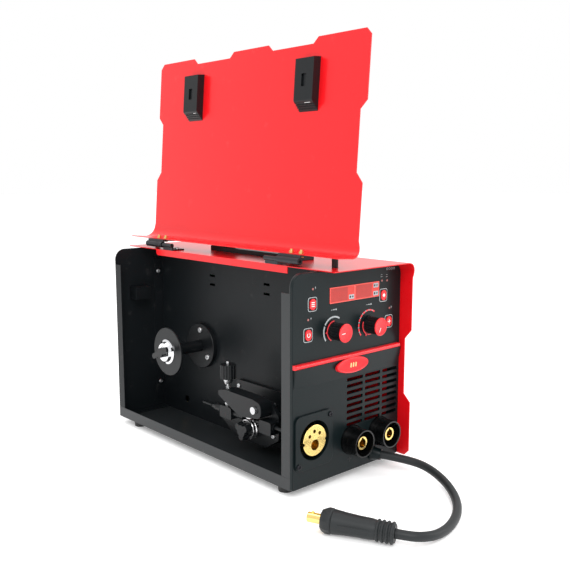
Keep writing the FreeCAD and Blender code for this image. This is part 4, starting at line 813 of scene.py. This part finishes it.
class WELDER_OT_panel_print(bpy.types.Operator):
    """Small plain signs beside the lamps and the polarity signs under the sockets"""
    bl_idname = "welder.panel_print"
    bl_label = "Panel signs"

    def bolt(self, bm, x, z, size):
        shape = ((0.1, 1.0), (-0.5, -0.1), (-0.05, -0.1), (-0.15, -1.0), (0.5, 0.2), (0.05, 0.2))
        add_polygon(bm, [(x + px * size, z + pz * size) for px, pz in shape], 0.12 * mm)

    def execute(self, context):
        bm = bmesh.new()
        for node, lift in (("button_mode", 22.0), ("button_purge", 22.0), ("button_trigger", 21.0)):
            spot = centre_of(node)
            self.bolt(bm, spot.x + 5.5 * mm, spot.z + lift * mm, 2.0 * mm)
        spot = centre_of("button_select")
        for step, height in ((-4.5, 27.5), (7.0, 26.5)):
            x = spot.x + step * mm
            add_plate(bm, x, spot.z + height * mm, 3.6 * mm, 0.5 * mm, 0, 0.12 * mm)
            add_arc(bm, x, spot.z + (height + 2.0) * mm, 1.4 * mm, 0.4 * mm, 0.12 * mm, -70, 140)
        for index in range(4):
            x = spot.x + (8 + index * 5.0) * mm
            z = spot.z + 38 * mm
            add_outline(bm, x, z, 3.4 * mm, 3.4 * mm, 1.2 * mm, 0.4 * mm, 0.12 * mm)
        for name in ("knob_left", "knob_right"):
            spot = centre_of(name)
            for index in range(3):
                x = spot.x + (index - 1) * 4.2 * mm
                add_plate(bm, x, spot.z + 29.5 * mm, 2.6 * mm, (0.7 + index * 0.6) * mm, 0, 0.12 * mm)
        finish_piece(bm, "panel_signs", "print", "case")
        bm = bmesh.new()
        low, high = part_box("socket_inserts")
        inset = 13.856 * mm
        left, right = low.x + inset, high.x - inset
        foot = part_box("socket_shells")[0].z - 6.5 * mm
        for turn in (0, math.pi / 2):
            depth = (0.25 + 0.05 * turn) * mm
            add_plate(bm, left - 1.5 * mm, foot, 8.5 * mm, 1.7 * mm, 0.2 * mm, depth, turn=turn)
        add_plate(bm, right + 14 * mm, foot, 8.5 * mm, 1.7 * mm, 0.2 * mm, 0.25 * mm)
        finish_piece(bm, "polarity_signs", "nylon", "case")
        return {"FINISHED"}


class WELDER_OT_springs(bpy.types.Operator):
    """Pressure spring round the tension rod and the brake spring in the spool hub"""
    bl_idname = "welder.springs"
    bl_label = "Springs"

    def coil(self, name, foot, axis, radius, wire, turns, height, body):
        """Coil of round wire: a ring of wire swept round the axis by short steps."""
        bm = bmesh.new()
        matrix = Matrix.Translation(foot) @ Vector(axis).to_track_quat("Z", "Y").to_matrix().to_4x4()
        ring = bmesh.ops.create_circle(bm, segments=8, radius=wire / 2)["verts"]
        stand = Matrix.Translation((radius, 0, 0)) @ Matrix.Rotation(math.pi / 2, 4, "X")
        bmesh.ops.transform(bm, matrix=stand, verts=ring)
        edges = list({edge for vert in ring for edge in vert.link_edges})
        steps = int(turns * 20)
        bmesh.ops.spin(bm, geom=ring + edges, cent=(0, 0, 0), axis=(0, 0, 1), angle=math.tau * turns,
                       steps=steps, dvec=(0, 0, height / steps))
        bmesh.ops.holes_fill(bm, edges=[edge for edge in bm.edges if edge.is_boundary], sides=8)
        bmesh.ops.transform(bm, matrix=matrix, verts=bm.verts)
        finish_piece(bm, name, "zinc", body, 60)

    def execute(self, context):
        knob = centre_of("tension_knob")
        foot = (knob.x, knob.y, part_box("tension_lever")[0].z + 14 * mm)
        self.coil("pressure_spring", foot, (0, 0, 1), 3.5 * mm, 0.9 * mm, 7, 21 * mm, "tension_lever")
        cap = centre_of("brake_cap")
        foot = (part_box("brake_cap")[0].x - 0.2 * mm, cap.y, cap.z)
        self.coil("brake_spring", foot, (1, 0, 0), 9.5 * mm, 1.4 * mm, 2, 3.0 * mm, "spool_holder")
        return {"FINISHED"}


class WELDER_OT_latch_grips(bpy.types.Operator):
    """Ribs on the latch sliders' finger pads"""
    bl_idname = "welder.latch_grips"
    bl_label = "Latch grips"

    def execute(self, context):
        for end in ("front", "rear"):
            low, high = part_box("latch_slider_" + end)
            bm = bmesh.new()
            for index in range(4):
                rib = bmesh.ops.create_cube(bm, size=1.0)["verts"]
                bmesh.ops.scale(bm, verts=rib, vec=(1.0 * mm, (high.y - low.y) * 0.62, 1.2 * mm))
                bmesh.ops.translate(bm, verts=rib, vec=(high.x - 2.9 * mm, (low.y + high.y) / 2,
                                                        low.z + (8 + index * 4.2) * mm))
            finish_piece(bm, end + "_slider_ribs", "nylon", end + "_latch")
        return {"FINISHED"}


CLASSES = (WelderFinishes, WelderPanelSizes, WelderLeadSizes, WelderStage, WELDER_OT_stage,
           WELDER_OT_finishes, WELDER_OT_polarity_lead, WELDER_OT_buttons, WELDER_OT_knobs,
           WELDER_OT_displays, WELDER_OT_badge, WELDER_OT_panel_print, WELDER_OT_springs,
           WELDER_OT_latch_grips)


class WELDER_PT_panel(bpy.types.Panel):
    """Sidebar panel with the machine's settings and steps"""
    bl_idname = "WELDER_PT_panel"
    bl_label = "Welding machine"
    bl_space_type = "VIEW_3D"
    bl_region_type = "UI"
    bl_category = "Welder"

    def draw(self, context):
        for group in settings():
            column = self.layout.box().column()
            for name in group.__annotations__:
                column.prop(group, name)
        for kind in CLASSES:
            if issubclass(kind, bpy.types.Operator):
                self.layout.operator(kind.bl_idname)


def register():
    for kind in (*CLASSES, WELDER_PT_panel):
        bpy.utils.register_class(kind)
    scene = bpy.types.Scene
    scene.welder_finishes = bpy.props.PointerProperty(type=WelderFinishes, name="Finishes")
    scene.welder_panel = bpy.props.PointerProperty(type=WelderPanelSizes, name="Panel sizes")
    scene.welder_lead = bpy.props.PointerProperty(type=WelderLeadSizes, name="Lead sizes")
    scene.welder_stage = bpy.props.PointerProperty(type=WelderStage, name="Stage")


def unregister():
    for name in ("welder_finishes", "welder_panel", "welder_lead", "welder_stage"):
        delattr(bpy.types.Scene, name)
    for kind in reversed((*CLASSES, WELDER_PT_panel)):
        bpy.utils.unregister_class(kind)


def main():
    register()
    bpy.ops.welder.stage()
    bpy.ops.welder.finishes()
    bpy.ops.welder.polarity_lead()
    bpy.ops.welder.buttons()
    bpy.ops.welder.knobs()
    bpy.ops.welder.displays()
    bpy.ops.welder.badge()
    bpy.ops.welder.panel_print()
    bpy.ops.welder.springs()
    bpy.ops.welder.latch_grips()


if __name__ == "__main__":
    main()
